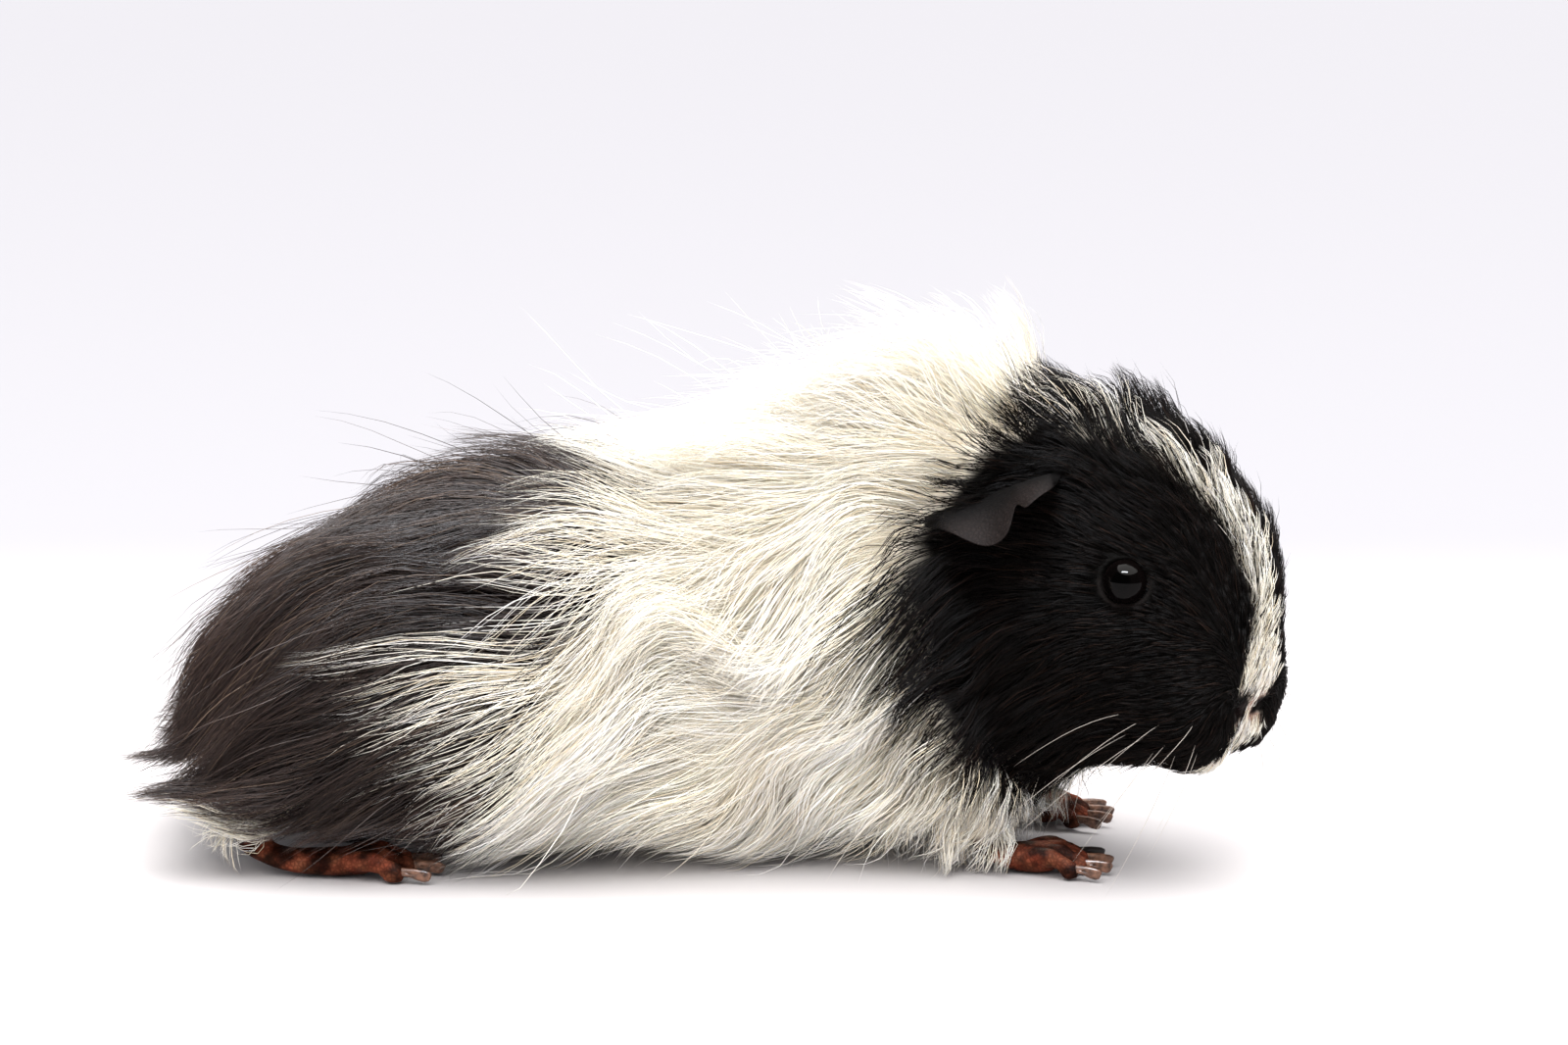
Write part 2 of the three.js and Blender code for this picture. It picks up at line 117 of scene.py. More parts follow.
# Adds one node. Settings are node attributes, inputs are socket values, and links are
# (socket, node, output) triples.
def addNode(tree, kind, settings=None, inputs=None, links=()):
    node = tree.nodes.new(kind)
    for name, value in (settings or {}).items():
        setattr(node, name, value)
    for name, value in (inputs or {}).items():
        node.inputs[name].default_value = value
    for socket, source, output in links:
        tree.links.new(source.outputs[output], node.inputs[socket])
    return node


def newMaterial(name):
    material = bpy.data.materials.new(name)
    material.use_nodes = True
    material.node_tree.nodes.clear()
    return material, material.node_tree


studio = {
    "floor": "bab8ba", "floorFarShade": "95959a", "farShadeEdge": (0.08, 0.42), "floorSize": 90.0,
    "room": "f6f5fa", "roomGlow": 0.85, "roomSeen": 0.91, "roomMirrored": 0.05,
}


def paperMaterial():
    # Seamless white studio paper: flat, with hardly any gloss and a faint tooth. Its colour darkens towards the back as
    # painted shade.
    material, tree = newMaterial("seamlessPaperMatt")
    place = addNode(tree, "ShaderNodeTexCoord")
    tooth = addNode(tree, "ShaderNodeTexNoise", None, {"Scale": 1 / 0.0012, "Detail": 2.0}, [("Vector", place, "Object")])
    bump = addNode(tree, "ShaderNodeBump", None, {"Strength": 0.05, "Distance": 0.0001}, [("Height", tooth, 0)])
    axes = addNode(tree, "ShaderNodeSeparateXYZ", None, None, [(0, place, "Object")])
    near, far = studio["farShadeEdge"]
    # Painted shade: the paper's colour darkens from near to far
    farShade = addNode(tree, "ShaderNodeMapRange", {"interpolation_type": "SMOOTHSTEP"},
                    {"From Min": near, "From Max": far}, [("Value", axes, "Y")])
    colour = addNode(tree, "ShaderNodeMix", {"data_type": "RGBA"}, None, [("Factor", farShade, 0)])
    colour.inputs["A"].default_value = linear(studio["floor"])
    colour.inputs["B"].default_value = linear(studio["floorFarShade"])
    shader = addNode(tree, "ShaderNodeBsdfPrincipled", None, {"Roughness": 0.8, "Specular IOR Level": 0.15},
                     [("Base Color", colour, "Result"), ("Normal", bump, 0)])
    addNode(tree, "ShaderNodeOutputMaterial", links=[("Surface", shader, 0)])
    return material


def makeFloor():
    bpy.ops.mesh.primitive_plane_add(size=studio["floorSize"], location=(0, 0, 0))
    floor = bpy.context.object
    floor.name = "studioFloor"
    floor.data.materials.append(paperMaterial())


# The room is dim, and only looks pale to the camera; light comes from one broad panel above and behind.
def makeRoom():
    world = bpy.data.worlds.new("studio")
    world.use_nodes = True
    tree = world.node_tree
    tree.nodes.clear()
    glow = addNode(tree, "ShaderNodeBackground", None, {"Color": linear(studio["room"]), "Strength": studio["roomGlow"]})
    seen = addNode(tree, "ShaderNodeBackground", None, {"Color": linear(studio["room"]), "Strength": studio["roomSeen"]})
    dim = addNode(tree, "ShaderNodeBackground", None, {"Color": linear(studio["room"]),
                                                       "Strength": studio["roomMirrored"]})
    rays = addNode(tree, "ShaderNodeLightPath")
    soft = addNode(tree, "ShaderNodeMixShader", None, None, [(0, rays, "Is Glossy Ray"), (1, glow, 0), (2, dim, 0)])
    mix = addNode(tree, "ShaderNodeMixShader", None, None, [(0, rays, "Is Camera Ray"), (1, soft, 0), (2, seen, 0)])
    addNode(tree, "ShaderNodeOutputWorld", links=[("Surface", mix, 0)])
    bpy.context.scene.world = world
    bpy.context.scene.view_settings.view_transform = "Standard"


# kind, place, aim, size in metres or angle in degrees, strength and colour
lamps = {
    "skyPanel": ("SUN", (0.25, 0.0, 2.0), (0, 0, 0), 80, 7.2, "fffcf8"),
    "front": ("AREA", (-0.4, -1.3, 1.2), (0, 0, 0.05), 0.9, 18.0, "fffaf4"),
    "eye": ("AREA", (0.0, -0.44, 1.0), (0.1, -0.03, 0.07), 0.5, 38.0, "f0f6ff"),
}


def makeLamps():
    for name, (kind, place, aim, size, strength, colour) in lamps.items():
        bpy.ops.object.light_add(type=kind, location=place)
        lamp = bpy.context.object
        lamp.name = name + "Lamp"
        if kind == "SUN":
            lamp.data.angle = math.radians(size)
        else:
            lamp.data.shape = "RECTANGLE" if name == "eye" else "SQUARE"
            lamp.data.size = size
            lamp.data.size_y = size / 5
        lamp.data.energy = strength
        lamp.data.color = linear(colour)[:3]
        lamp.visible_glossy = name != "front"
        lamp.visible_diffuse = name != "eye"  # only mirrored, as the spark in the eye
        lamp.rotation_euler = (Vector(aim) - Vector(place)).to_track_quat("-Z", "Y").to_euler()


makeCamera()
makeFloor()
makeRoom()
makeLamps()
print("studio ready")


def readPoints(obj):
    flat = np.empty(len(obj.data.vertices) * 3)
    obj.data.vertices.foreach_get("co", flat)
    return flat.reshape(-1, 3)


def writePoints(obj, points):
    obj.data.vertices.foreach_set("co", np.ascontiguousarray(points, float).ravel())
    obj.data.update()


def readNormals(obj):
    flat = np.empty(len(obj.data.vertices) * 3, np.float32)
    obj.data.vertex_normals.foreach_get("vector", flat)
    return flat.reshape(-1, 3).astype(float)


def unit(vectors):
    return vectors / np.maximum(np.linalg.norm(vectors, axis=-1, keepdims=True), 1e-9)


def smoothStep(a, b, x):
    t = np.clip((x - a) / (b - a), 0, 1)
    return t * t * (3 - 2 * t)


def bell(x, width):
    return np.exp(-(x / width) ** 2)


# Smooth pseudo-random field from a few sine waves, about size millimetres long
def ripple(points, size, seed):
    draw = np.random.default_rng(seed)
    ways = unit(draw.normal(size=(7, 3))) * (2 * math.pi / size) * draw.uniform(0.7, 1.4, (7, 1))
    return np.sin(points @ ways.T + draw.uniform(0, 6.28, 7)).sum(-1) / 2.6


# Rows between the listed ones on a Catmull-Rom spline, for shares from 0 to 1
def along(rows, share):
    rows = np.asarray(rows, float)
    place = np.clip(share, 0, 1) * (len(rows) - 1)
    i = np.minimum(place.astype(int), len(rows) - 2)
    t = (place - i)[..., None]
    a, b, c, d = (rows[np.clip(i + k, 0, len(rows) - 1)] for k in (-1, 0, 1, 2))
    return b + 0.5 * t * (c - a + t * (2 * a - 5 * b + 4 * c - d + t * (3 * (b - c) + d - a)))


def signedPower(value, exponent):
    return np.sign(value) * np.abs(value) ** exponent


def selectOnly(obj):
    bpy.ops.object.select_all(action="DESELECT")
    obj.select_set(True)
    bpy.context.view_layer.objects.active = obj


# A ball pulled into shape: each of its points moves to shape(share of the length, angle round it)
def pulledBall(name, rings, around, shape):
    bpy.ops.object.select_all(action="DESELECT")
    bpy.ops.mesh.primitive_uv_sphere_add(segments=around, ring_count=rings, radius=1)
    ball = bpy.context.object
    ball.name = name
    points = readPoints(ball)
    share = np.arccos(np.clip(points[:, 2], -1, 1)) / math.pi
    writePoints(ball, shape(share, np.arctan2(points[:, 1], points[:, 0])))
    bpy.ops.object.mode_set(mode="EDIT")
    bpy.ops.mesh.select_all(action="SELECT")
    bpy.ops.mesh.normals_make_consistent(inside=False)
    bpy.ops.object.mode_set(mode="OBJECT")
    return ball


def roundEnds(share, sharpness):
    return np.sqrt(np.clip(1 - np.abs(2 * share - 1) ** sharpness, 0, 1))


def limb(name, path, radii, flat=1.0, rings=22, around=20, ends=9, up=(0, 0, 1)):
    def shape(share, angle):
        centre = along(path, share)
        ahead = unit(along(path, np.clip(share + 0.02, 0, 1)) - along(path, np.clip(share - 0.02, 0, 1)))
        rise = unit(np.array(up) - ahead * (ahead @ np.array(up))[:, None])
        across = np.cross(ahead, rise)
        reach = along(np.array(radii)[:, None], share)[:, 0] * roundEnds(share, ends)
        return (centre + across * (reach * np.cos(angle))[:, None]
                + rise * (reach * flat * np.sin(angle))[:, None])
    return pulledBall(name, rings, around, shape)


def oval(name, middle, radii, turn=(0, 0, 0), inHead=False):
    bpy.ops.object.select_all(action="DESELECT")
    bpy.ops.mesh.primitive_uv_sphere_add(segments=32, ring_count=20, radius=1, location=middle,
                                         rotation=[math.radians(t) for t in turn], scale=radii)
    ball = bpy.context.object
    ball.name = name
    bpy.ops.object.transform_apply(location=True, rotation=True, scale=True)
    if inHead:
        writePoints(ball, outOfHead(readPoints(ball)))
    return ball


def joinAll(pieces, name):
    bpy.ops.object.select_all(action="DESELECT")
    for piece in pieces:
        piece.select_set(True)
    bpy.context.view_layer.objects.active = pieces[0]
    bpy.ops.object.join()
    pieces[0].name = name
    pieces[0].data.name = name
    return pieces[0]


def applyModifier(obj, kind, **settings):
    selectOnly(obj)
    modifier = obj.modifiers.new(kind.lower(), kind)
    for key, value in settings.items():
        setattr(modifier, key, value)
    bpy.ops.object.modifier_apply(modifier=modifier.name)


# Puts a finished piece in its place in the scene, on the one body, and hides the parts that it replaces.
def finishPiece(obj, name, replaced=()):
    selectOnly(obj)
    bpy.ops.object.shade_smooth()
    obj.name = name
    obj.data.name = name
    writePoints(obj, toScene(readPoints(obj)))
    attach(obj, "root")
    if replaced:
        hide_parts(*replaced)


# Trunk under the coat, from rump to throat: station, sideways drift, top, bottom and half width
trunk = {
    "rows": [
        (-116, 1, 40, 26, 8), (-109, 1, 50, 20, 20), (-97, 0, 61, 15, 31), (-80, 0, 72, 11, 38.5),
        (-58, 0, 81, 9, 42), (-34, 0, 84, 8, 42), (-10, 0, 85.5, 8, 40), (14, 0, 90, 8, 37),
        (36, -2, 97, 9, 33), (54, -5, 104, 13, 29), (70, -9, 105, 20, 23), (83, -13, 96, 34, 14),
    ],
    "waist": 0.42, "roundTop": 2.1, "roundBottom": 2.8,
}
# Head: station, height, lean, crown above, jaw below, half width
skull = {
    "rows": [
        (-8, 60, -4, 32, 30, 18), (3, 61, 0, 39, 36, 25), (20, 62, 6, 42, 41, 29), (38, 62, 20, 41, 42.5, 28.3),
        (50.5, 58, 32, 34.8, 39.5, 25), (60, 51, 38, 27.3, 31.2, 22.8), (66.6, 46.5, 34, 18.8, 22.4, 22.2),
        (71, 43, 28, 12.8, 15.6, 21.2), (73.2, 41, 24, 8.4, 11, 17.8),
    ],
    "pear": 0.28,
}


def trunkShape(share, angle):
    x, drift, top, bottom, half = along(trunk["rows"], share).T
    centre = bottom + (top - bottom) * trunk["waist"]
    over = np.sin(angle) > 0
    power = np.where(over, 2 / trunk["roundTop"], 2 / trunk["roundBottom"])
    close = roundEnds(share, 14)
    rise = np.where(over, top - centre, centre - bottom) * close
    return np.stack([x, drift + half * close * signedPower(np.cos(angle), power),
                     centre + rise * signedPower(np.sin(angle), power)], -1)


def skullShape(share, angle):
    x, z, lean, crown, jaw, half = along(skull["rows"], share).T
    lean = np.radians(lean)
    close = roundEnds(share, 16)
    rise = np.sin(angle) * np.where(np.sin(angle) > 0, crown, jaw) * close
    wide = np.cos(angle) * half * (1 - skull["pear"] * np.sin(angle)) * close
    return outOfHead(np.stack([x + rise * np.sin(lean), wide, z + rise * np.cos(lean)], -1))


foreFoot = {"toes": 4, "length": 15.0, "half": 6.4, "toeLength": 9.5, "toeRadius": 2.0, "fan": 12, "claw": 5.5}
hindFoot = {"toes": 3, "length": 27.0, "half": 5.8, "toeLength": 11.0, "toeRadius": 2.3, "fan": 10, "claw": 6.5}
# Wrist or heel of each foot, and the way that it points in degrees from +X
feet = {
    "fore_left": (foreFoot, (70, 17, 0), -8), "fore_right": (foreFoot, (66, -29, 0), -7),
    "hind_left": (hindFoot, (-98, 34, 0), 6), "hind_right": (hindFoot, (-103, -33, 0), -4),
}


def heading(degrees):
    return np.array((math.cos(math.radians(degrees)), math.sin(math.radians(degrees)), 0.0))


# Root and direction of each toe, from the animal's right to its left
def toeRoots(name):
    size, heel, turn = feet[name]
    ahead, found = heading(turn), []
    side = np.array((-ahead[1], ahead[0], 0))
    for i in range(size["toes"]):
        offset = i - (size["toes"] - 1) / 2
        root = (np.array(heel, float) + ahead * (size["length"] - 1.6 * abs(offset))
                + side * (offset * (size["half"] + 0.6) * 1.5 / (size["toes"] - 1)))
        found.append((root, heading(turn + size["fan"] * offset)))
    return found


def makeFoot(name):
    size, heel, turn = feet[name]
    ahead, base = heading(turn), np.array(heel, float)
    hind = name.startswith("hind")
    side = 1 if name.endswith("left") else -1
    lift = np.array((0, 0, 1.0))
    length, half = size["length"], size["half"]
    pieces = [limb(name + "Sole", [base + ahead * f + lift * h for f, h in (
        (-3, 8 if hind else 7), (length * 0.3, 3.8), (length * 0.72, 3.4), (length + 2.5, 3.6))],
        [half * 0.66, half * 0.8, half * 0.98, half * 0.9], flat=0.56, ends=7)]
    for root, way in toeRoots(name):
        reach, radius = size["toeLength"], size["toeRadius"]
        path = [root + way * f + lift * h for f, h in (
            (-5, 4.4), (reach * 0.2, 4.9), (reach * 0.62, 3.9), (reach * 0.9, 2.4), (reach + 0.6, 2.2))]
        pieces.append(limb(name + "Toe", path, [radius * k for k in (0.95, 1.12, 0.86, 1.0, 0.8)], ends=5))
        pieces.append(oval(name + "Pad", root + way * reach * 0.8 + lift * 1.7,
                           (radius * 1.15, radius * 0.95, 1.7), (0, 0, turn)))
    steps = ([(2, 0, 7), (1, -side, 16), (12, -side * 5, 27), (26, -side * 6, 40)] if hind
             else [(1, 0, 7), (-3, 0, 18), (-9, side * 2, 30), (-14, side * 3, 44)])
    wide = (5.2, 6.2, 12, 17) if hind else (5, 6, 8.5, 13)
    pieces.append(limb(name + "Shank", [base + np.array(s) for s in steps], wide, up=(1, 0, 0), ends=6))
    return pieces


def makeFlesh():
    pieces = [pulledBall("trunk", 60, 48, trunkShape), pulledBall("skull", 56, 40, skullShape)]
    for side in (1, -1):
        pieces.append(oval("cheek", (27, side * 15, 44), (23, 14.5, 18), (0, 12, side * -6), True))
        pieces.append(oval("whiskerPad", (64.5, side * 10.3, 37.5), (9.2, 9, 8.2), (0, 25, 0), True))
        pieces.append(oval("haunch", (-72, side * 24, 34), (27, 17, 24)))
        pieces.append(oval("shoulder", (44, side * 18 - 3, 38), (20, 13, 24)))
    pieces.append(oval("chin", (56, 0, 31.3), (11, 9, 5.5), (0, 14, 0), True))
    pieces.append(oval("nape", (63, -5, 76), (22, 23, 29)))
    for name in feet:
        pieces += makeFoot(name)
    flesh = joinAll(pieces, "skin")
    applyModifier(flesh, "REMESH", mode="VOXEL", voxel_size=0.95)
    points = readPoints(flesh)
    soft = flesh.vertex_groups.new(name="soft")
    for weight, chosen in ((1.0, points[:, 2] > 14), (0.35, points[:, 2] <= 14)):
        soft.add(np.flatnonzero(chosen).tolist(), weight, "REPLACE")
    applyModifier(flesh, "SMOOTH", factor=0.6, iterations=10, vertex_group="soft")
    return flesh


# Finer faces at the muzzle, the eyes and the feet
def refine(flesh):
    points = readPoints(flesh)
    local = intoHead(points)
    chosen = (local[:, 0] > 58) & (points[:, 2] > 16) | (points[:, 2] < 9) & (np.abs(points[:, 0]) > 40)
    for side in (1, -1):
        chosen |= np.linalg.norm(local - onSide(eyeball["place"], side), axis=1) < 11
    selectOnly(flesh)
    bpy.ops.object.mode_set(mode="EDIT")
    bpy.ops.mesh.select_mode(type="VERT")
    bpy.ops.mesh.select_all(action="DESELECT")
    bpy.ops.object.mode_set(mode="OBJECT")
    flesh.data.vertices.foreach_set("select", chosen)
    bpy.ops.object.mode_set(mode="EDIT")
    bpy.ops.mesh.subdivide(number_cuts=1, smoothness=0.6)
    bpy.ops.object.mode_set(mode="OBJECT")


lids = {"rim": 5.35, "socket": 12.5, "cup": -3.0, "fold": 0.75}


# Opens the skin round each eye into a rim that hugs the eyeball, inside a shallow socket
def shapeLids(points):
    local = intoHead(points)
    rim = lids["rim"]
    for side in (1, -1):
        way = unit(onSide(eyeball["looks"], side))
        away = local - onSide(eyeball["place"], side)
        height = away @ way
        flatAway = away - height[:, None] * way
        distance = np.linalg.norm(flatAway, axis=1)
        near = (distance < lids["socket"] + 0.5) & (height > -9)
        lid = np.where(distance < rim, lids["cup"] + 3.9 * (distance / rim) ** 6,
                       0.9 + lids["fold"] * bell(distance - rim - 0.9, 0.9)
                       - 1.3 * smoothStep(rim + 1.2, rim + 4.5, distance) * (1 - smoothStep(rim + 3.5, 12, distance)))
        hold = (1 - smoothStep(rim + 1.2, lids["socket"], distance)) * near
        local = local + ((lid - height) * hold)[:, None] * way
        squeeze = 0.10 * near * (distance < rim + 2) * np.abs(flatAway[:, 2]) / rim  # a slightly pointed oval
        local[:, 2] -= squeeze * flatAway[:, 2]
    return outOfHead(local)


muzzle = {"nostril": (72.5, 4.5, 41.3), "deep": 1.9, "mouth": 31.2, "cleft": 1.0}


# Presses nostrils, the cleft of the lip and the mouth into the skin of the muzzle
def shapeMuzzle(points, normals):
    local = intoHead(points)
    out = spin(normals, -headPlace["turn"])
    x, y, z = local.T
    press = np.zeros(len(local))
    front = x > 58
    for side in (1, -1):
        nx, ny, nz = onSide(muzzle["nostril"], side)
        u, w = (y - ny) * side, z - nz
        line = w - 0.2 - 0.5 * u + 0.36 * np.abs(u - 0.6) ** 1.3  # a comma, its tail running up and outwards
        press += muzzle["deep"] * np.exp(-((line / 0.66) ** 2) - ((u - 0.2) / 1.9) ** 2) * front
        press -= 0.5 * np.exp(-(((w - 1.7) / 1.2) ** 2) - ((u - 0.4) / 2.6) ** 2) * front
    press += muzzle["cleft"] * bell(y, 0.6) * smoothStep(41, 38, z) * smoothStep(27, 30, z) * front
    mouth = muzzle["mouth"] + 0.10 * np.abs(y) - 0.22 * (70 - x)
    press += 1.4 * bell(z - mouth, 0.7) * smoothStep(48, 56, x) * (z < 40)
    return outOfHead(local - out * press[:, None])


ear = {
    "front": (33.5, 20.5, 93.5), "back": (2.0, 26.5, 81.0), "spread": 17.0, "forward": 12.0, "droop": 5.5,
    "thick": 1.1, "wave": 1.9, "inward": 13.0, "inner": 0.5, "hump": 2.5, "notch": 0.26,
}


# A thin flap, folded outwards and down from a root that runs along the side of the head
def makeEar(side):
    def shape(share, angle):
        q = (1 + np.cos(angle)) / 2 * (1 + ear["inner"]) - ear["inner"]
        r, inside = np.clip(q, 0, 1), np.clip(-q, 0, 1) / ear["inner"]
        root = np.array(ear["front"]) + (np.array(ear["back"]) - np.array(ear["front"])) * share[:, None]
        petal = np.sin(math.pi * np.minimum(1, 0.93 * share + 0.05)) ** 0.45
        notch = 1 - ear["notch"] * bell(share - 0.29, 0.05)
        reach = r * petal * notch
        curve = ear["wave"] * np.sin(9.5 * share) * r
        fold = np.sin(0.62 * math.pi * r)
        rise = curve + ear["hump"] * fold * petal - (ear["droop"] + ear["hump"]) * reach ** 1.6
        thick = ear["thick"] / 2 * (1 + 1.2 * inside) * np.sin(angle) * roundEnds(share, 20)
        pinch = 1 - 0.6 * inside * np.abs(2 * share - 1)
        points = np.stack([
            root[:, 0] + ear["forward"] * reach,
            root[:, 1] + ear["spread"] * reach + 0.5 * curve - ear["inward"] * inside * pinch,
            root[:, 2] + rise + thick], -1)
        points[:, 1] *= side
        return outOfHead(points)
    return pulledBall("ear", 40, 36, shape)


def settleOnFloor(points):
    points[:, 2] = np.maximum(points[:, 2], 0.05)
    return points


def trianglesOf(obj):
    obj.data.calc_loop_triangles()
    corners = np.empty(len(obj.data.loop_triangles) * 3, np.int32)
    obj.data.loop_triangles.foreach_get("vertices", corners)
    return corners.reshape(-1, 3)


flesh = makeFlesh()
refine(flesh)
writePoints(flesh, shapeLids(readPoints(flesh)))
writePoints(flesh, shapeMuzzle(readPoints(flesh), readNormals(flesh)))
applyModifier(flesh, "SMOOTH", factor=0.35, iterations=1)
writePoints(flesh, settleOnFloor(readPoints(flesh)))
fleshPoints, fleshTriangles = readPoints(flesh), trianglesOf(flesh)
for side in (1, -1):
    flap = makeEar(side)
    applyModifier(flesh, "BOOLEAN", operation="UNION", object=flap, solver="EXACT")
    bpy.data.objects.remove(flap)
fleshTree = BVHTree.FromPolygons(fleshPoints.tolist(), fleshTriangles.tolist(), all_triangles=True)
print("flesh", len(flesh.data.vertices), "points")

# Markings, the same for skin and coat. Each line gives a height in mm and where an edge lies there.
marks = {
    "brownRight": ((5, 30, 49, 62, 78, 92), (-36, -30, -34, -24, -5, 6)),
    "brownLeft": ((5, 30, 49, 62, 78, 92), (-46, -38, -38, -26, -10, 6)),
    "blackRear": ((10, 16, 22, 30, 48, 65, 79, 90, 103, 110), (38, 34, 28, 21, 12, 8, 6, 11, 18, 23)),
    "blazeMiddle": ((28, 36, 47, 55, 64, 73, 82, 88, 94, 108), (0.8, 0.2, 0, 1.2, 1.9, 2.5, 3.2, 4.2, 5.6, 5.5)),
    "blazeHalf": ((24, 27, 31, 36, 39, 43, 48, 55, 64, 73, 82, 94, 101, 110),
                  (0, 2.5, 5, 8, 7.3, 7.0, 7.6, 4.8, 3.2, 2.8, 2.7, 2.8, 2.6, 2.4)),
    "nostrilPatch": ((6.1, 41.2, 5.4, 4.2), (6.4, 41.4, 2.6, 2.2)),
}


# Shares of white, black and brown hair at each point
def markings(points):
    local = intoHead(points)
    x, y, z = points.T
    lx, ly, lz = local.T
    wobble = ripple(points, 22, 3) * 3.0 + ripple(points, 7, 4) * 1.2
    edge = np.where(y < 0, np.interp(z, *marks["brownRight"]), np.interp(z, *marks["brownLeft"]))
    brown = smoothStep(4, -4, x - edge - wobble)
    heel = smoothStep(-88, -92, x + 0.3 * wobble) * smoothStep(-118, -115, x) * smoothStep(19, 15, z + 0.5 * wobble)
    brown = brown * (1 - heel * (np.abs(y) > 14))
    rear = np.interp(lz, *marks["blackRear"])
    black = smoothStep(-2.5, 2.5, lx - rear + wobble * 0.5) * smoothStep(8, 12, lz)
    middle = ly + np.interp(lz, *marks["blazeMiddle"]) + 0.7 * ripple(local, 11, 8)
    half = np.interp(lz, *marks["blazeHalf"])
    blaze = smoothStep(1.3, -1.3, np.abs(middle) - half) * (lx > 28) * np.interp(lz, (36, 52, 66, 88, 97, 104), (0.95, 0.85, 0.75, 0.68, 0.52, 0.25))
    right, left = (np.hypot((side * ly - y0) / wide, (lz - z0) / high)
                   for side, (y0, z0, wide, high) in zip((-1, 1), marks["nostrilPatch"]))
    dark = smoothStep(1.25, 0.85, np.minimum(right, left))
    black = black * (1 - blaze * (1 - dark))
    brown = brown * (1 - black)
    return np.stack([np.clip(1 - black - brown, 0, 1), black, brown], -1)


def bareness(points):
    local = intoHead(points)
    z = points[:, 2]
    soles = smoothStep(9.0, 6.5, z)
    hindTop = smoothStep(11, 8, z) * (points[:, 0] < -50)
    nx, ny, nz = muzzle["nostril"]
    nose = bell(local[:, 2] - nz, 3.0) * bell(np.abs(local[:, 1]) - ny + 0.6, 2.9) * (local[:, 0] > nx - 6)
    lip = bell(local[:, 2] - muzzle["mouth"], 1.0) * (local[:, 0] > 60) * (np.abs(local[:, 1]) < 10)
    return np.clip(np.maximum.reduce([soles, hindTop, smoothStep(0.35, 0.75, nose), 0.6 * lip]), 0, 1)


tones = {
    "white": ("fdfaf3", "f6f0e4", "ffffff", "efe3cc"),
    "black": ("0a0807", "100c0b", "060505", "241a15"),
    "brown": ("2e2421", "201816", "3b2f2a", "54463b"),
    "whiteFelt": "f6efe0", "blackFelt": "080706", "brownFelt": "191311", "lidRim": "171312",
    "footSkin": "6f3a28", "footShade": "2c140b", "noseSkin": "150d0c", "earSkin": "070505", "earRim": "1c1615",
    "lip": "8a6c5f",
}


# How far each point of the skin lies out on an ear
def earShares(points):
    find = fleshTree.find_nearest
    gaps = np.array([find(p)[3] for p in points.tolist()])
    side = np.abs(intoHead(points)[:, 1]) > 14
    return np.where(side & (points[:, 2] > 60), smoothStep(0.2, 1.4, gaps), 0), gaps


def paintSkin(obj):
    points = readPoints(obj)
    mark = markings(points)
    felts = [np.array(linear(tones[key])[:3]) for key in ("whiteFelt", "blackFelt", "brownFelt")]
    colour = sum(mark[:, i:i + 1] * felts[i] for i in range(3))
    bare = bareness(points)
    local = intoHead(points)
    onMuzzle = (local[:, 0] > 55) & (points[:, 2] > 20)
    pink = smoothStep(60, 66, local[:, 0]) * smoothStep(50, 42, local[:, 2]) * mark[:, 0]
    colour = colour * (1 - pink[:, None]) + np.array(linear(tones["lip"])[:3]) * pink[:, None]
    shade = np.clip(0.5 + 0.6 * ripple(points, 9, 14) + 0.3 * ripple(points, 3.5, 15), 0, 1)[:, None]
    foot = np.array(linear(tones["footSkin"])[:3]) * (1 - shade) + np.array(linear(tones["footShade"])[:3]) * shade
    skin = np.where(onMuzzle[:, None], linear(tones["noseSkin"])[:3], foot)
    creases = 1 + 0.22 * ripple(points, 7, 11) + 0.14 * ripple(points, 2.2, 12)
    skin = skin * np.clip(creases, 0.4, 1.5)[:, None]
    skin[:, 1:] *= np.clip(1 - 0.15 * ripple(points, 5, 13), 0.7, 1.2)[:, None]
    onEar, gaps = earShares(points)
    rim = smoothStep(9, 15, gaps)[:, None]
    leather = np.array(linear(tones["earSkin"])[:3]) * (1 - rim) + np.array(linear(tones["earRim"])[:3]) * rim
    colour = colour * (1 - bare[:, None]) + np.clip(skin, 0, 1) * bare[:, None]
    colour = colour * (1 - onEar[:, None]) + leather * onEar[:, None]
    rim = np.zeros(len(points))
    for side in (1, -1):
        away = intoHead(points) - onSide(eyeball["place"], side)
        rim += bell(np.linalg.norm(away, axis=1) - lids["rim"] - 0.5, 0.55) * (away[:, 2] < 1)
    rim = np.clip(rim, 0, 0.7)[:, None]
    colour = colour * (1 - rim) + np.array(linear(tones["lidRim"])[:3]) * rim
    bare = np.maximum(bare, onEar)
    layer = obj.data.attributes.new("skinTone", "FLOAT_COLOR", "POINT")
    layer.data.foreach_set("color", np.hstack([colour, bare[:, None]]).astype(np.float32).ravel())
    return onEar


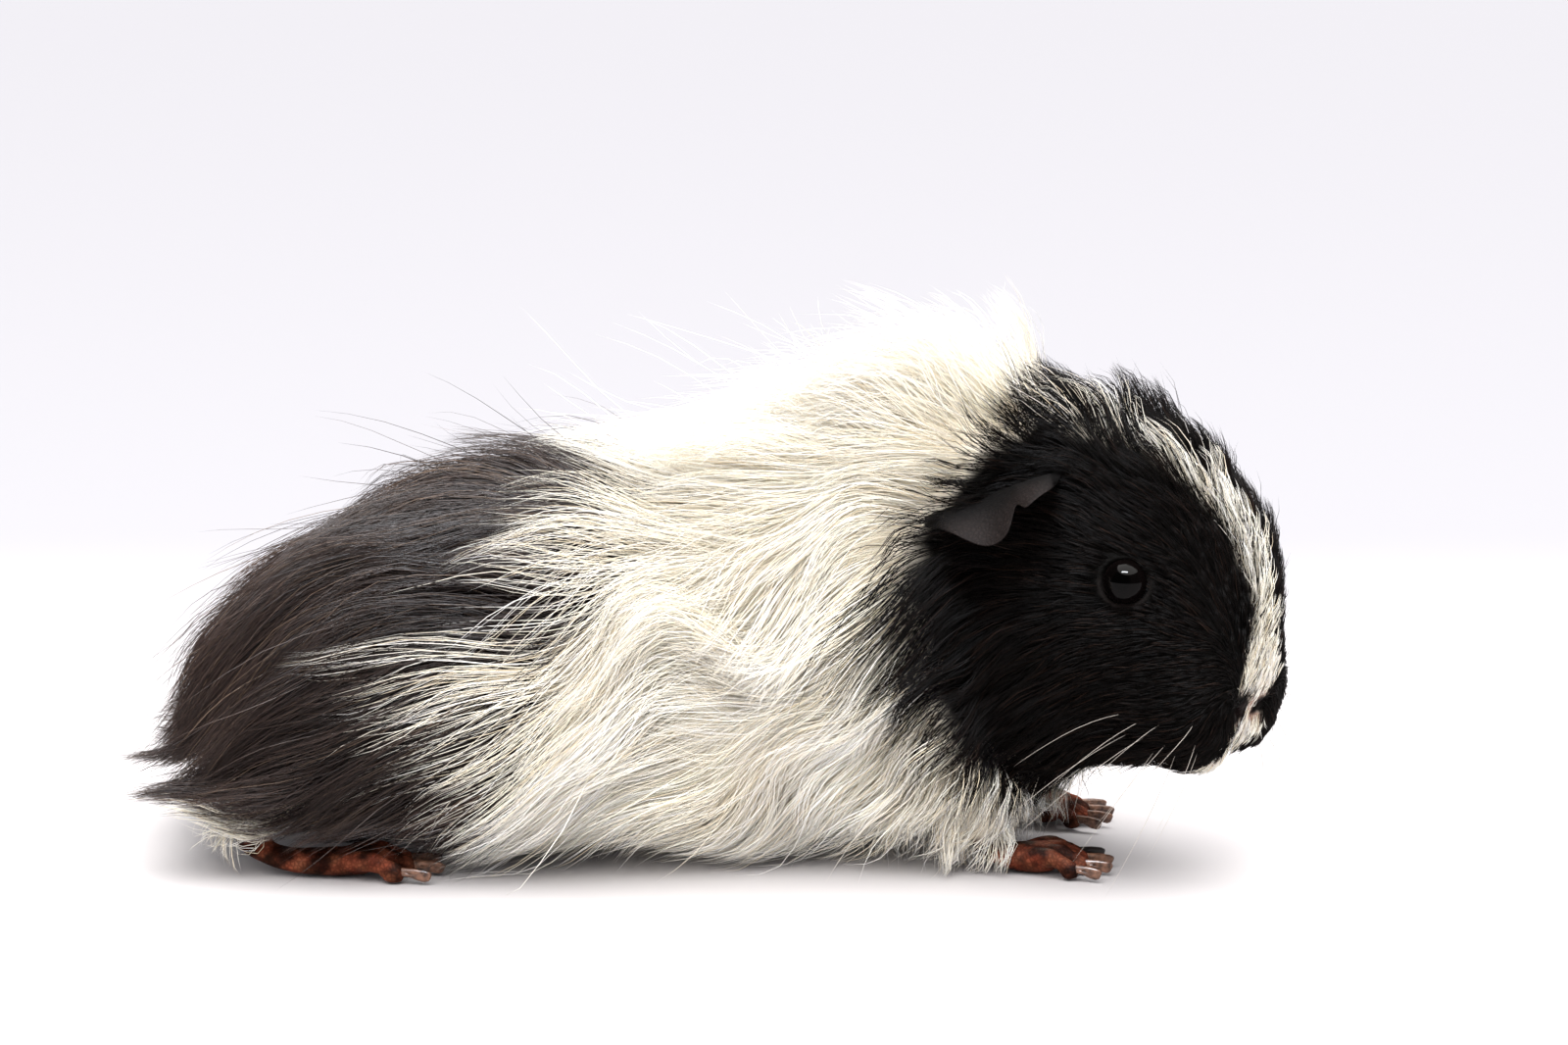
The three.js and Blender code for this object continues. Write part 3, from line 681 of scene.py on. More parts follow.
def skinMaterial():
    # Thin bare skin on feet, nose, lips and ears: fine creases and pores with a faint oily gloss, and painted
    # shade darkening the bare skin along its creases. Under the coat it is felted undercoat, dull and soft.
    material, tree = newMaterial("bareSkinAndUndercoat")
    tone = addNode(tree, "ShaderNodeAttribute", {"attribute_name": "skinTone"})
    place = addNode(tree, "ShaderNodeTexCoord")
    creases = addNode(tree, "ShaderNodeTexVoronoi", {"feature": "DISTANCE_TO_EDGE"}, {"Scale": 1 / 0.0010},
                      [("Vector", place, "Object")])
    grain = addNode(tree, "ShaderNodeTexNoise", None, {"Scale": 1 / 0.0016, "Detail": 4.0},
                    [("Vector", place, "Object")])
    relief = addNode(tree, "ShaderNodeMath", {"operation": "ADD"}, None, [(0, creases, 0), (1, grain, 0)])
    bump = addNode(tree, "ShaderNodeBump", None, {"Strength": 0.5, "Distance": 0.0005}, [("Height", relief, 0)])
    # Painted shade: bare skin is darker along the crease lines
    creaseShade = addNode(tree, "ShaderNodeMapRange", None, {"From Max": 0.3, "To Min": 0.55, "To Max": 1.05},
                   [("Value", creases, 0)])
    bareOnly = addNode(tree, "ShaderNodeMix", {"data_type": "FLOAT"}, {"A": 1.0},
                       [("Factor", tone, "Alpha"), ("B", creaseShade, 0)])
    tinted = addNode(tree, "ShaderNodeVectorMath", {"operation": "SCALE"}, None,
                     [("Vector", tone, "Color"), ("Scale", bareOnly, 0)])
    roughness = addNode(tree, "ShaderNodeMapRange", None, {"To Min": 0.9, "To Max": 0.68}, [("Value", tone, "Alpha")])
    shader = addNode(tree, "ShaderNodeBsdfPrincipled", None,
                     {"IOR": 1.4, "Specular IOR Level": 0.08},
                     [("Base Color", tinted, 0), ("Roughness", roughness, 0), ("Normal", bump, 0)])
    addNode(tree, "ShaderNodeOutputMaterial", links=[("Surface", shader, 0)])
    return material


# How the coat lies on the body: a spot on the left, way the hair runs, length, depth of coat, curl,
# hairs per mm2 and reach of the spot. The right side is its mirror image.
bodyComb = [
    ((-60, 10, 84), (-1, 0.5, -0.15), 56, 13, 0.4, 0.46, 18),
    ((-75, 30, 66), (-0.85, 0.25, -0.55), 58, 13, 0.35, 0.48, 16),
    ((-90, 35, 45), (-0.95, 0.1, -0.45), 48, 12, 0.3, 0.45, 16),
    ((-108, 12, 48), (-0.7, 0.3, -0.8), 38, 12, 0.35, 0.5, 14),
    ((-113, 8, 34), (-0.8, 0.4, -0.5), 22, 9, 0.4, 0.65, 11),
    ((-104, 26, 30), (-1, 0.25, 0.1), 19, 7, 0.4, 0.6, 10),
    ((-80, 40, 32), (-1, 0.1, 0.0), 38, 10, 0.2, 0.42, 13),
    ((-60, 40, 14), (-0.9, 0.05, -0.3), 24, 7, 0.3, 0.5, 12),
    ((-98, 34, 13), (0.0, 0.2, -1), 10, 3, 0.4, 1.2, 7),
    ((-112, 14, 18), (-0.7, 0.2, -0.5), 9, 3, 0.4, 0.9, 8),
    ((-108, 27, 11), (-0.6, 0.2, -0.7), 8, 3, 0.4, 1.0, 8),
    ((-106, 0, 12), (-0.7, 0.1, -0.5), 8, 3, 0.4, 0.8, 10),
    ((-36, 8, 86), (-1, 0.6, 0.1), 50, 14, 0.8, 0.42, 16),
    ((-34, 34, 72), (-1, 0.1, 0.25), 52, 14, 0.8, 0.42, 13),
    ((-30, 42, 54), (-1, 0.1, -0.25), 62, 14, 0.7, 0.42, 14),
    ((-44, 42, 30), (-0.65, 0.1, -0.85), 44, 12, 0.4, 0.45, 14),
    ((-14, 42, 26), (-0.45, 0.1, -1), 44, 13, 0.45, 0.42, 14),
    ((0, 40, 50), (-0.85, 0.1, -0.55), 58, 15, 0.8, 0.42, 14),
    ((4, 34, 72), (-0.95, 0.3, 0.05), 52, 15, 0.9, 0.42, 15),
    ((8, 8, 90), (-1, 0.5, 0.15), 48, 15, 0.9, 0.42, 16),
    ((36, 10, 98), (-0.8, 0.4, 0.6), 48, 26, 0.8, 0.45, 14),
    ((32, 34, 70), (-0.75, 0.15, -0.65), 50, 14, 0.8, 0.42, 14),
    ((26, 38, 42), (-0.35, 0.1, -1), 46, 13, 0.8, 0.42, 13),
    ((20, 38, 18), (-0.3, 0.15, -1), 32, 11, 0.9, 0.5, 12),
    ((62, 4, 105), (-0.4, 0.3, 1.0), 46, 36, 0.7, 0.55, 12),
    ((56, 22, 92), (-0.7, 0.45, 0.5), 42, 24, 0.7, 0.46, 12),
    ((48, 32, 66), (-0.85, 0.2, -0.5), 40, 14, 0.8, 0.45, 12),
    ((50, 34, 42), (-0.4, 0.2, -0.95), 32, 12, 0.9, 0.5, 12),
    ((70, 10, 25), (-0.1, 0.3, -1), 20, 9, 1.3, 0.6, 12),
    ((50, 32, 20), (-0.2, 0.3, -1), 21, 9, 1.4, 0.6, 10),
    ((0, 10, 8), (-1, 0.2, 0), 16, 5, 0.4, 0.16, 18),
    ((-60, 10, 10), (-1, 0.2, 0), 16, 5, 0.4, 0.16, 18),
    ((68, 26, 12), (-0.2, 0.1, -1), 9, 3, 0.8, 1.0, 6),
]
# The same on the head, in its own frame
headComb = [
    ((74, 0, 47), (-0.5, 0.2, 0.85), 3.8, 1.0, 0.1, 2.6, 4.5),
    ((75, 0, 36), (-0.3, 0.6, -0.7), 4, 1.2, 0.1, 3.4, 4.5),
    ((72, 0, 60), (-0.4, 0.15, 0.95), 6.5, 2.4, 0.1, 2.2, 6),
    ((66, 0, 77), (-0.5, 0.1, 0.9), 10, 5, 0.12, 1.8, 8),
    ((54, 0, 92), (-0.45, 0.15, 1.0), 15, 10, 0.2, 1.4, 8),
    ((38, 0, 101), (-0.35, 0.25, 1.0), 20, 15, 0.3, 1.2, 8),
    ((22, 3, 104), (-0.45, 0.25, 1.0), 22, 16, 0.5, 1.0, 7),
    ((52, 15, 86), (-0.9, 0.1, 0.4), 8, 1.8, 0.1, 1.8, 8),
    ((60, 17, 72), (-0.9, 0.3, 0.3), 4.5, 0.9, 0.05, 2.4, 5.5),
    ((52, 22, 60), (-1, 0.2, -0.1), 6, 1.3, 0.1, 2.0, 6),
    ((66, 15, 50), (-0.95, 0.4, -0.1), 4.8, 1.0, 0.05, 2.4, 6),
    ((70, 12, 36), (-0.6, 0.6, -0.6), 4, 0.9, 0.1, 2.6, 4.5),
    ((66, 4, 27), (-0.9, 0.2, -0.35), 5, 1.2, 0.1, 2.0, 6),
    ((48, 24, 42), (-1, 0.25, -0.25), 9, 2, 0.12, 1.6, 9),
    ((34, 31, 45), (-0.9, 0.25, -0.5), 14, 4, 0.2, 1.2, 10),
    ((14, 31, 45), (-0.9, 0.4, -0.5), 22, 7, 0.25, 0.9, 10),
    ((32, 22, 22), (-0.35, 0.2, -0.95), 20, 6, 0.3, 1.2, 9),
    ((52, 8, 20), (-1, 0.1, -0.3), 9, 2.4, 0.15, 1.4, 9),
    ((34, 26, 72), (-1, 0.15, 0.0), 9, 2, 0.1, 1.5, 8),
    ((26, 23, 94), (-1, 0.45, -0.35), 17, 6, 0.2, 1.4, 7),
    ((8, 26, 88), (-1, 0.5, -0.3), 20, 8, 0.3, 1.2, 6),
    ((8, 4, 100), (-0.35, 0.3, 1.0), 44, 36, 0.6, 0.7, 9),
    ((8, 22, 92), (-0.9, 0.5, 0.3), 30, 12, 0.4, 0.8, 8),
    ((28, 16, 98), (-0.95, 0.5, 0.15), 20, 7, 0.25, 1.2, 8),
    ((6, 28, 70), (-0.95, 0.4, 0.0), 20, 8, 0.3, 1.0, 9),
]


def combTable():
    spots, values, reaches = [], [], []
    for rows, place in ((bodyComb, np.array), (headComb, outOfHead)):
        for spot, way, length, depth, curl, density, reach in rows:
            for side in (1, -1):
                start = place(onSide(spot, side))
                end = place(onSide(spot, side) + unit(onSide(way, side)))
                spots.append(start)
                values.append([*(end - start), length, depth, curl, density])
                reaches.append(reach)
    return np.array(spots), np.array(values), np.array(reaches, float)


combSpots, combValues, combReach = combTable()


def combAt(points):
    found = np.empty((len(points), 7))
    for i in range(0, len(points), 20000):
        part = points[i:i + 20000]
        square = ((part[:, None, :] - combSpots) ** 2).sum(-1)
        weight = np.exp(-square / (2 * combReach ** 2)) + 1e-7 / (square + 1)
        found[i:i + 20000] = (weight / weight.sum(1, keepdims=True)) @ combValues
    return found


# Where the coat turns in on itself: middle on the left side, reach and degrees of turn
whorls = (
    ((11, 40, 46), 11, 110), ((-20, 42, 62), 11, -95), ((37, 36, 36), 9, 80), ((22, 38, 66), 10, -70),
    ((-16, 14, 90), 12, 70), ((-2, 42, 26), 10, 55), ((52, 30, 52), 8, -60), ((-40, 40, 48), 9, 45),
)


def whorled(ways, points, out):
    turn = np.zeros(len(points))
    for spot, reach, degrees in whorls:
        for side in (1, -1):
            gap = np.linalg.norm(points - onSide(spot, side), axis=1)
            turn += side * math.radians(degrees) * bell(gap, reach)
    turn = turn[:, None]
    return ways * np.cos(turn) + np.cross(out, ways) * np.sin(turn)


field = {"step": 3.0, "margin": 36.0, "low": None, "size": None, "grid": None}


# Distance from the flesh and the way out of it, on a grid round the animal
def fillField():
    step = field["step"]
    field["low"] = fleshPoints.min(0) - field["margin"]
    field["low"][2] = -6
    field["size"] = np.ceil((fleshPoints.max(0) + field["margin"] - field["low"]) / step).astype(int) + 1
    xs, ys, zs = (field["low"][k] + step * np.arange(field["size"][k]) for k in range(3))
    distance = np.empty(field["size"])
    find = fleshTree.find_nearest
    for i, x in enumerate(xs):
        for j, y in enumerate(ys):
            row = distance[i, j]
            for k, z in enumerate(zs):
                place, normal, _, gap = find((x, y, z))
                out = (x - place[0]) * normal[0] + (y - place[1]) * normal[1] + (z - place[2]) * normal[2]
                row[k] = gap if out > 0 else -gap
    field["grid"] = np.stack([distance, *np.gradient(distance, step)], -1)


def fieldAt(points):
    place = np.clip((points - field["low"]) / field["step"], 0, field["size"] - 1.001)
    cell = place.astype(int)
    t = place - cell
    total = 0
    for corner in np.ndindex(2, 2, 2):
        share = np.prod(np.where(corner, t, 1 - t), axis=1)
        total = total + share[:, None] * field["grid"][tuple((cell + corner).T)]
    return total[:, 0], unit(total[:, 1:])


def unwrapSkin(obj):
    selectOnly(obj)
    bpy.ops.object.mode_set(mode="EDIT")
    bpy.ops.mesh.select_all(action="SELECT")
    bpy.ops.uv.smart_project(angle_limit=math.radians(70), island_margin=0.002)
    bpy.ops.object.mode_set(mode="OBJECT")
    obj.data.uv_layers.active.name = "OFBake"
    loops = np.empty(len(obj.data.loops) * 2)
    obj.data.uv_layers["OFBake"].data.foreach_get("uv", loops)
    corners = np.empty(len(obj.data.loop_triangles) * 3, np.int32)
    obj.data.loop_triangles.foreach_get("loops", corners)
    return loops.reshape(-1, 2)[corners.reshape(-1, 3)]


coat = {
    "seed": 11, "amount": 1.2, "crest": (23, 14), "segments": (3, 4, 7), "lengths": (9.5, 24.0), "bigLock": (8, 16, 55),
    "smallLock": (4, 5, 9), "flyaway": 0.05, "widths": ((3, 8, 20, 50), (0.15, 0.16, 0.17, 0.19)),
    "farSide": 0.72, "woolly": 0.3, "lockTinge": (0.05, 0.12, 0.28), "spare": (0.015, 4.5, 5.0),
}


def scatterRoots(obj, onEar, draw):
    triangles = trianglesOf(obj)
    skinUv = unwrapSkin(obj)
    corner = readPoints(obj)[triangles]
    cross = np.cross(corner[:, 1] - corner[:, 0], corner[:, 2] - corner[:, 0])
    area = np.linalg.norm(cross, axis=1) / 2
    middle = corner.mean(1)
    local = intoHead(middle)
    covered = (middle[:, 2] < 2.6) | (onEar[triangles].max(1) > 0)
    for side in (1, -1):
        covered |= np.linalg.norm(local - onSide(eyeball["place"], side), axis=1) < eyeball["radius"] + 0.45
    spread = combAt(middle)
    hidden = smoothStep(0, 14, middle[:, 1]) * smoothStep(14, 24, spread[:, 3])
    woolly = 1 + coat["woolly"] * markings(middle)[:, 0] * smoothStep(20, 30, spread[:, 3])
    want = woolly * area * spread[:, 6] * coat["amount"] * (1 - (1 - coat["farSide"]) * hidden) * (1 - bareness(middle)) ** 2 * ~covered
    counts = np.floor(want + draw.random(len(want))).astype(int)
    tri = np.repeat(np.arange(len(counts)), counts)
    a, b = draw.random((2, len(tri)))
    flip = a + b > 1
    a[flip], b[flip] = 1 - a[flip], 1 - b[flip]
    weights = np.stack([1 - a - b, a, b], -1)
    roots = (corner[tri] * weights[..., None]).sum(1)
    return roots, unit(cross)[tri], (skinUv[tri] * weights[..., None]).sum(1)


# Turns and eddies of the coat, so that no two locks lie quite alike
def eddies(points):
    broad = np.stack([ripple(points, 36, s) for s in (21, 22, 23)], -1)
    fine = np.stack([ripple(points, 13, s) for s in (24, 25, 26)], -1)
    return 0.75 * broad + 0.5 * fine


# Grows hairs from their roots: they leave the skin, bend into the comb and settle at their height
def growHairs(roots, normals, length, height, curl, segments, draw):
    count = len(roots)
    path = np.empty((count, segments + 1, 3))
    path[:, 0] = roots
    step = (length / segments)[:, None]
    stray = draw.normal(size=(count, 3)) * (0.06 + 0.12 * curl)[:, None]
    loose = (0.12 + 0.42 * np.minimum(curl, 1))[:, None]
    way = unit(normals * 0.55 + unit(combAt(roots)[:, :3]) * 0.6 + stray * 0.5)
    here = roots
    for k in range(1, segments + 1):
        t = k / segments
        out = fieldAt(here + way * step * 0.5)[1]
        ways = whorled(unit(combAt(here)[:, :3]), here, out) + stray + eddies(here) * loose
        flat = ways - out * (ways * out).sum(1, keepdims=True) * 0.75
        level = smoothStep(28, 15, here[:, 2]) * smoothStep(-84, -98, here[:, 0]) * (length > 12)
        flat = flat + np.array((-0.3, 0, 1.0)) * level[:, None]
        way = unit(way * 0.5 + unit(flat) * 0.75 + np.array((0, 0, -0.14)) * t)
        goal = height * min(1.0, t * 1.25) ** 0.65
        distance, out = fieldAt(here + way * step)
        free = (here[:, 2] < 24) | (here[:, 0] < -104) & (length > 24)
        pullIn = np.where(free, -0.1, -0.65)
        way = unit(way + out * np.clip((goal - distance)[:, None] / step, pullIn[:, None], 0.9))
        here = here + way * step
        here[:, 2] = np.maximum(here[:, 2], 0.5 + 1.2 * draw.random(count) * (1 - t * 0.5))
        path[:, k] = here
    return path


# Draws each hair towards the hair at the middle of its lock, more so at the tip
def gather(path, size, strength, draw, power=1.15, spread=14):
    roots = path[:, 0]
    count = max(1, int(len(roots) / size))
    heads = draw.choice(len(roots), count, replace=False)
    tree = kdtree.KDTree(count)
    for i, head in enumerate(heads):
        tree.insert(roots[head], i)
    tree.balance()
    owner = np.array([tree.find(root)[1] for root in roots.tolist()])
    pull = draw.uniform(strength[0], strength[1], count)[owner]
    gap = np.linalg.norm(roots - roots[heads[owner]], axis=1)
    pull = pull * bell(gap, spread)
    t = np.linspace(0, 1, path.shape[1]) ** power
    return path + (path[heads[owner]] - path) * (pull[:, None] * t)[..., None], owner


# Bends hairs into waves. Neighbours wave together when the phase comes from a smooth field.
def waveHairs(path, length, reach, wavelength, phase):
    t = np.linspace(0, 1, path.shape[1])
    ahead = unit(path[:, -1] - path[:, 0])
    out = fieldAt(path[:, path.shape[1] // 2])[1]
    side = unit(np.cross(ahead, out))
    turns = 2 * math.pi * (length / wavelength)[:, None] * t
    sway = np.sin(turns + phase[:, None]) - np.sin(phase)[:, None]
    lift = np.cos(turns + phase[:, None]) - np.cos(phase)[:, None]
    grown = reach[:, None] * t ** 0.7
    return path + side[:, None, :] * (grown * sway)[..., None] + out[:, None, :] * (0.5 * grown * lift)[..., None]


# Hair and whiskers bend so that they stay a few millimetres round the solid model's own extent
def keepInside(path):
    spare = (np.array(cadHigh) - np.array(cadLow)) * 1000 * coat["spare"][0] + coat["spare"][1]
    soft = coat["spare"][2]
    low = np.array(cadLow) * 1000 - shift - spare + soft
    high = np.array(cadHigh) * 1000 - shift + spare - soft
    over = np.maximum(path - high, 0)
    under = np.maximum(low - path, 0)
    path = np.where(over > 0, high + soft * (1 - np.exp(-over / soft)), path)
    return np.where(under > 0, low - soft * (1 - np.exp(-under / soft)), path)


def hairTones(mark, roots, draw):
    count = len(mark)
    kind = (draw.random(count)[:, None] > np.cumsum(mark, 1)).sum(1).clip(0, 2)
    colour = np.empty((count, 3))
    warm = np.clip(0.5 + 0.5 * ripple(roots, 26, 41), 0, 1)[:, None]
    for i, key in enumerate(("white", "black", "brown")):
        palette = np.array([linear(h)[:3] for h in tones[key]])
        chosen = palette[draw.choice(4, count, p=(0.45, 0.3, 0.17, 0.08))]
        shade = np.exp(draw.normal(size=(count, 1)) * (0.05, 0.2, 0.16)[i])
        colour[kind == i] = (chosen * shade)[kind == i]
    cream = 1 - warm * np.array((0.0, 0.015, 0.06))
    colour = np.where((kind == 0)[:, None], colour * cream, colour)
    return kind, np.clip(colour, 0, 0.95)


# Colour at the root and the tip of a hair, as shares of its middle: white, black and brown. The darker roots are
# painted shade deep in the coat.
rootShadeAndTips = (
    ((0.96, 0.93, 0.86), (1.0, 1.0, 1.0)),
    ((0.8, 0.8, 0.8), (1.25, 1.15, 1.1)),
    ((0.75, 0.75, 0.75), (1.5, 1.45, 1.4)),
)


# Closed three-sided tapering hairs as one mesh
def hairMesh(name, groups):
    places, tints, patches, quads, triangles = [], [], [], [], []
    base = 0
    for group in groups:
        path, width, colour, uv, out, ends = (group[k] for k in ("path", "width", "colour", "uv", "out", "ends"))
        count, rings = path.shape[0], path.shape[1] - 1
        ahead = np.empty_like(path)
        ahead[:, 1:-1] = path[:, 2:] - path[:, :-2]
        ahead[:, 0] = path[:, 1] - path[:, 0]
        ahead[:, -1] = path[:, -1] - path[:, -2]
        ahead = unit(ahead)
        side = unit(np.cross(ahead, out[:, None, :]))
        rise = np.cross(side, ahead)
        t = np.arange(rings) / rings
        taper = width[:, None] * (0.75 + 0.5 * np.sin(math.pi * np.clip(t * 1.2, 0, 1))) * (1 - 0.6 * t ** 2.2) / 2
        ring = np.empty((count, rings, 3, 3))
        for c, angle in enumerate((90, 210, 330)):
            a = math.radians(angle)
            corner = side[:, :rings] * math.cos(a) + rise[:, :rings] * 0.8 * math.sin(a)
            ring[:, :, c] = path[:, :rings] + corner * taper[..., None]
        places.append(np.concatenate([ring.reshape(count, rings * 3, 3), path[:, -1:]], 1).reshape(-1, 3))
        share = np.concatenate([np.repeat(t, 3), [1.0]])[None, :, None]
        # Painted shade: each hair's colour darkens towards its root
        glow = ends[:, :1] * (1 - share) + ends[:, 1:] * share
        tints.append(np.clip(colour[:, None, :] * glow, 0, 0.96).reshape(-1, 3))
        small = np.concatenate([np.stack([np.tile((0.0, 0.5, 1.0), rings), np.repeat(t, 3)], -1), [[0.5, 1.0]]])
        patches.append((uv[:, None, :] + (small - 0.5) * 0.003).reshape(-1, 2))
        walls = [(r * 3 + c, r * 3 + (c + 1) % 3, r * 3 + 3 + (c + 1) % 3, r * 3 + 3 + c)
                 for r in range(rings - 1) for c in range(3)]
        size, last = rings * 3 + 1, (rings - 1) * 3
        caps = [(last + c, last + (c + 1) % 3, size - 1) for c in range(3)] + [(2, 1, 0)]
        start = base + np.arange(count)[:, None, None] * size
        quads.append((start + np.array(walls)).reshape(-1, 4))
        triangles.append((start + np.array(caps)).reshape(-1, 3))
        base += count * size
    places, tints, patches, quads, triangles = map(np.concatenate, (places, tints, patches, quads, triangles))
    mesh = bpy.data.meshes.new(name)
    corners = np.concatenate([quads.ravel(), triangles.ravel()]).astype(np.int32)
    starts = np.concatenate([np.arange(len(quads)) * 4, len(quads) * 4 + np.arange(len(triangles)) * 3])
    mesh.vertices.add(len(places))
    mesh.vertices.foreach_set("co", toScene(places).ravel())
    mesh.loops.add(len(corners))
    mesh.loops.foreach_set("vertex_index", corners)
    mesh.polygons.add(len(starts))
    mesh.polygons.foreach_set("loop_start", starts.astype(np.int32))
    mesh.polygons.foreach_set("use_smooth", np.ones(len(starts), bool))
    mesh.update(calc_edges=True)
    mesh.uv_layers.new(name="OFBake").data.foreach_set("uv", patches[corners].astype(np.float32).ravel())
    tone = mesh.attributes.new("hairTone", "FLOAT_COLOR", "POINT")
    tone.data.foreach_set("color", np.hstack([tints, np.ones((len(tints), 1))]).astype(np.float32).ravel())
    obj = bpy.data.objects.new(name, mesh)
    bpy.context.scene.collection.objects.link(obj)
    return obj, len(quads) * 2 + len(triangles)


def hairMaterial(name, roughness, sheen, gloss):
    # Keratin hair, satin along its length: white wool is dull and soft, black and brown guard hair is sleek.
    material, tree = newMaterial(name)
    tone = addNode(tree, "ShaderNodeAttribute", {"attribute_name": "hairTone"})
    place = addNode(tree, "ShaderNodeTexCoord")
    patchy = addNode(tree, "ShaderNodeTexNoise", None, {"Scale": 1 / 0.018, "Detail": 3.0}, [("Vector", place, "Object")])
    level = addNode(tree, "ShaderNodeMapRange", None, {"To Min": 0.92, "To Max": 1.06}, [("Value", patchy, 0)])
    tinted = addNode(tree, "ShaderNodeVectorMath", {"operation": "SCALE"}, None,
                     [("Vector", tone, "Color"), ("Scale", level, 0)])
    shader = addNode(tree, "ShaderNodeBsdfPrincipled", None,
                     {"Roughness": roughness, "IOR": 1.55, "Specular IOR Level": gloss, "Sheen Weight": sheen},
                     [("Base Color", tinted, 0)])
    addNode(tree, "ShaderNodeOutputMaterial", links=[("Surface", shader, 0)])
    return material


# name, roughness, sheen, gloss and the record's slot
hairLooks = (
    ("whiteWoolHairSoft", 0.65, 0.15, 0.25, "white_coat"),
    ("blackGuardHairSleek", 0.5, 0.0, 0.07, "black_coat"),
    ("brownGuardHairSleek", 0.42, 0.0, 0.3, "brown_coat"),
)


# The piece of coat that each hair belongs to
def pieceOf(kind, roots):
    local = intoHead(roots)
    x, y, z = roots.T
    side = np.where(y < 0, "Right", "Left")
    headSide = np.where(local[:, 1] < 0, "Right", "Left")
    face = local[:, 0] > 42
    white = np.select([face & (x > 50), (x > 34) & (z > 66), x > 26],
                      [np.full(len(x), "whiteBlaze"), np.char.add("whiteMane", side), np.char.add("whiteChest", side)],
                      np.char.add("whiteFlank", side))
    black = np.where(face, np.char.add("blackFace", headSide), np.char.add("blackCheek", headSide))
    brown = np.where(z > 45, np.char.add("brownBack", side), np.char.add("brownHaunch", side))
    return np.select([kind == 0, kind == 1], [white, black], brown)


def makeCoat(obj, onEar):
    draw = np.random.default_rng(coat["seed"])
    roots, normals, uv = scatterRoots(obj, onEar, draw)
    comb = combAt(roots)
    length = comb[:, 3] * np.exp(draw.normal(size=len(roots)) * 0.16)
    tufted = 1 + 0.28 * ripple(roots, 14, 51)
    depth = comb[:, 4] * (0.2 + 0.85 * draw.random(len(roots)) ** 0.7) * np.clip(tufted, 0.55, 1.35)
    curl = comb[:, 5]
    kind, colour = hairTones(markings(roots), roots, draw)
    crest = (kind == 1) & (roots[:, 2] > 76)
    length = np.where(crest, np.minimum(length, coat["crest"][0] * draw.uniform(0.6, 1, len(roots))), length)
    depth = np.where(crest, np.minimum(depth, coat["crest"][1]), depth)
    pieces = pieceOf(kind, roots)
    width = np.interp(length, *coat["widths"]) * np.exp(draw.normal(size=len(roots)) * 0.2)
    levels = np.digitize(length, coat["lengths"])
    made = {}
    for level, segments in enumerate(coat["segments"]):
        chosen = np.flatnonzero(levels == level)
        here, long, curled = roots[chosen], length[chosen], curl[chosen]
        path = growHairs(here, normals[chosen], long, depth[chosen], curled, segments, draw)
        phase = 3.1 * ripple(here, 30, 61)
        reach = long * (0.015 + 0.095 * np.minimum(curled, 1.2))
        path = waveHairs(path, long, reach, np.clip(long * 0.95, 10, 48), phase)
        path, owner = gather(path, coat["bigLock"][level], (0.3, 0.85), draw)
        path = gather(path, coat["smallLock"][level], (0.35, 0.9), draw, 0.9)[0]
        loose = draw.random(len(chosen))
        path = waveHairs(path, long, long * (0.006 + 0.014 * curled * loose), np.clip(long * 0.6, 6, 30),
                         draw.uniform(0, 6.28, len(chosen)))
        wild = draw.random(len(chosen)) < coat["flyaway"]
        out = fieldAt(path[:, segments // 2])[1]
        t = np.linspace(0, 1, segments + 1) ** 1.5
        far = draw.uniform(0.04, 0.2, len(chosen)) * (1 + 1.6 * (draw.random(len(chosen)) < 0.15))
        away = (wild * long * far)[:, None] * t
        path = path + out[:, None, :] * away[..., None]
        for _ in range(2 if segments > 4 else 0):
            path[:, 1:-1] = path[:, 1:-1] * 0.5 + (path[:, :-2] + path[:, 2:]) * 0.25
        path = keepInside(path)
        path[..., 2] = np.maximum(path[..., 2], 0.45)
        tinge = np.array(coat["lockTinge"])[kind[chosen]]
        shade = np.exp(np.random.default_rng(5).normal(size=owner.max() + 1)[owner] * tinge)[:, None]
        ends = np.array(rootShadeAndTips)[kind[chosen]]
        for name in np.unique(pieces[chosen]):
            pick = pieces[chosen] == name
            made.setdefault(name, []).append({
                "path": path[pick], "width": width[chosen][pick], "colour": (colour[chosen] * shade)[pick],
                "uv": uv[chosen][pick], "out": out[pick], "ends": ends[pick]})
    print("hairs", len(roots), "short, middling, long", np.bincount(levels))
    looks = [hairMaterial(*look[:4]) for look in hairLooks]
    total = 0
    for name, groups in sorted(made.items()):
        piece, count = hairMesh(str(name) + "Coat", groups)
        look = ("white", "black", "brown").index(str(name)[:5])
        piece.data.materials.append(looks[look])
        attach(piece, "root")
        total += count
        print("coat piece", name, count, "triangles")
    print("coat triangles", total)
    return looks


onEar = paintSkin(flesh)
fillField()
print("distance field", field["size"])
looks = makeCoat(flesh, onEar)

whisker = {"count": 11, "segments": 10, "width": 0.14, "seed": 4, "bend": 0.13}


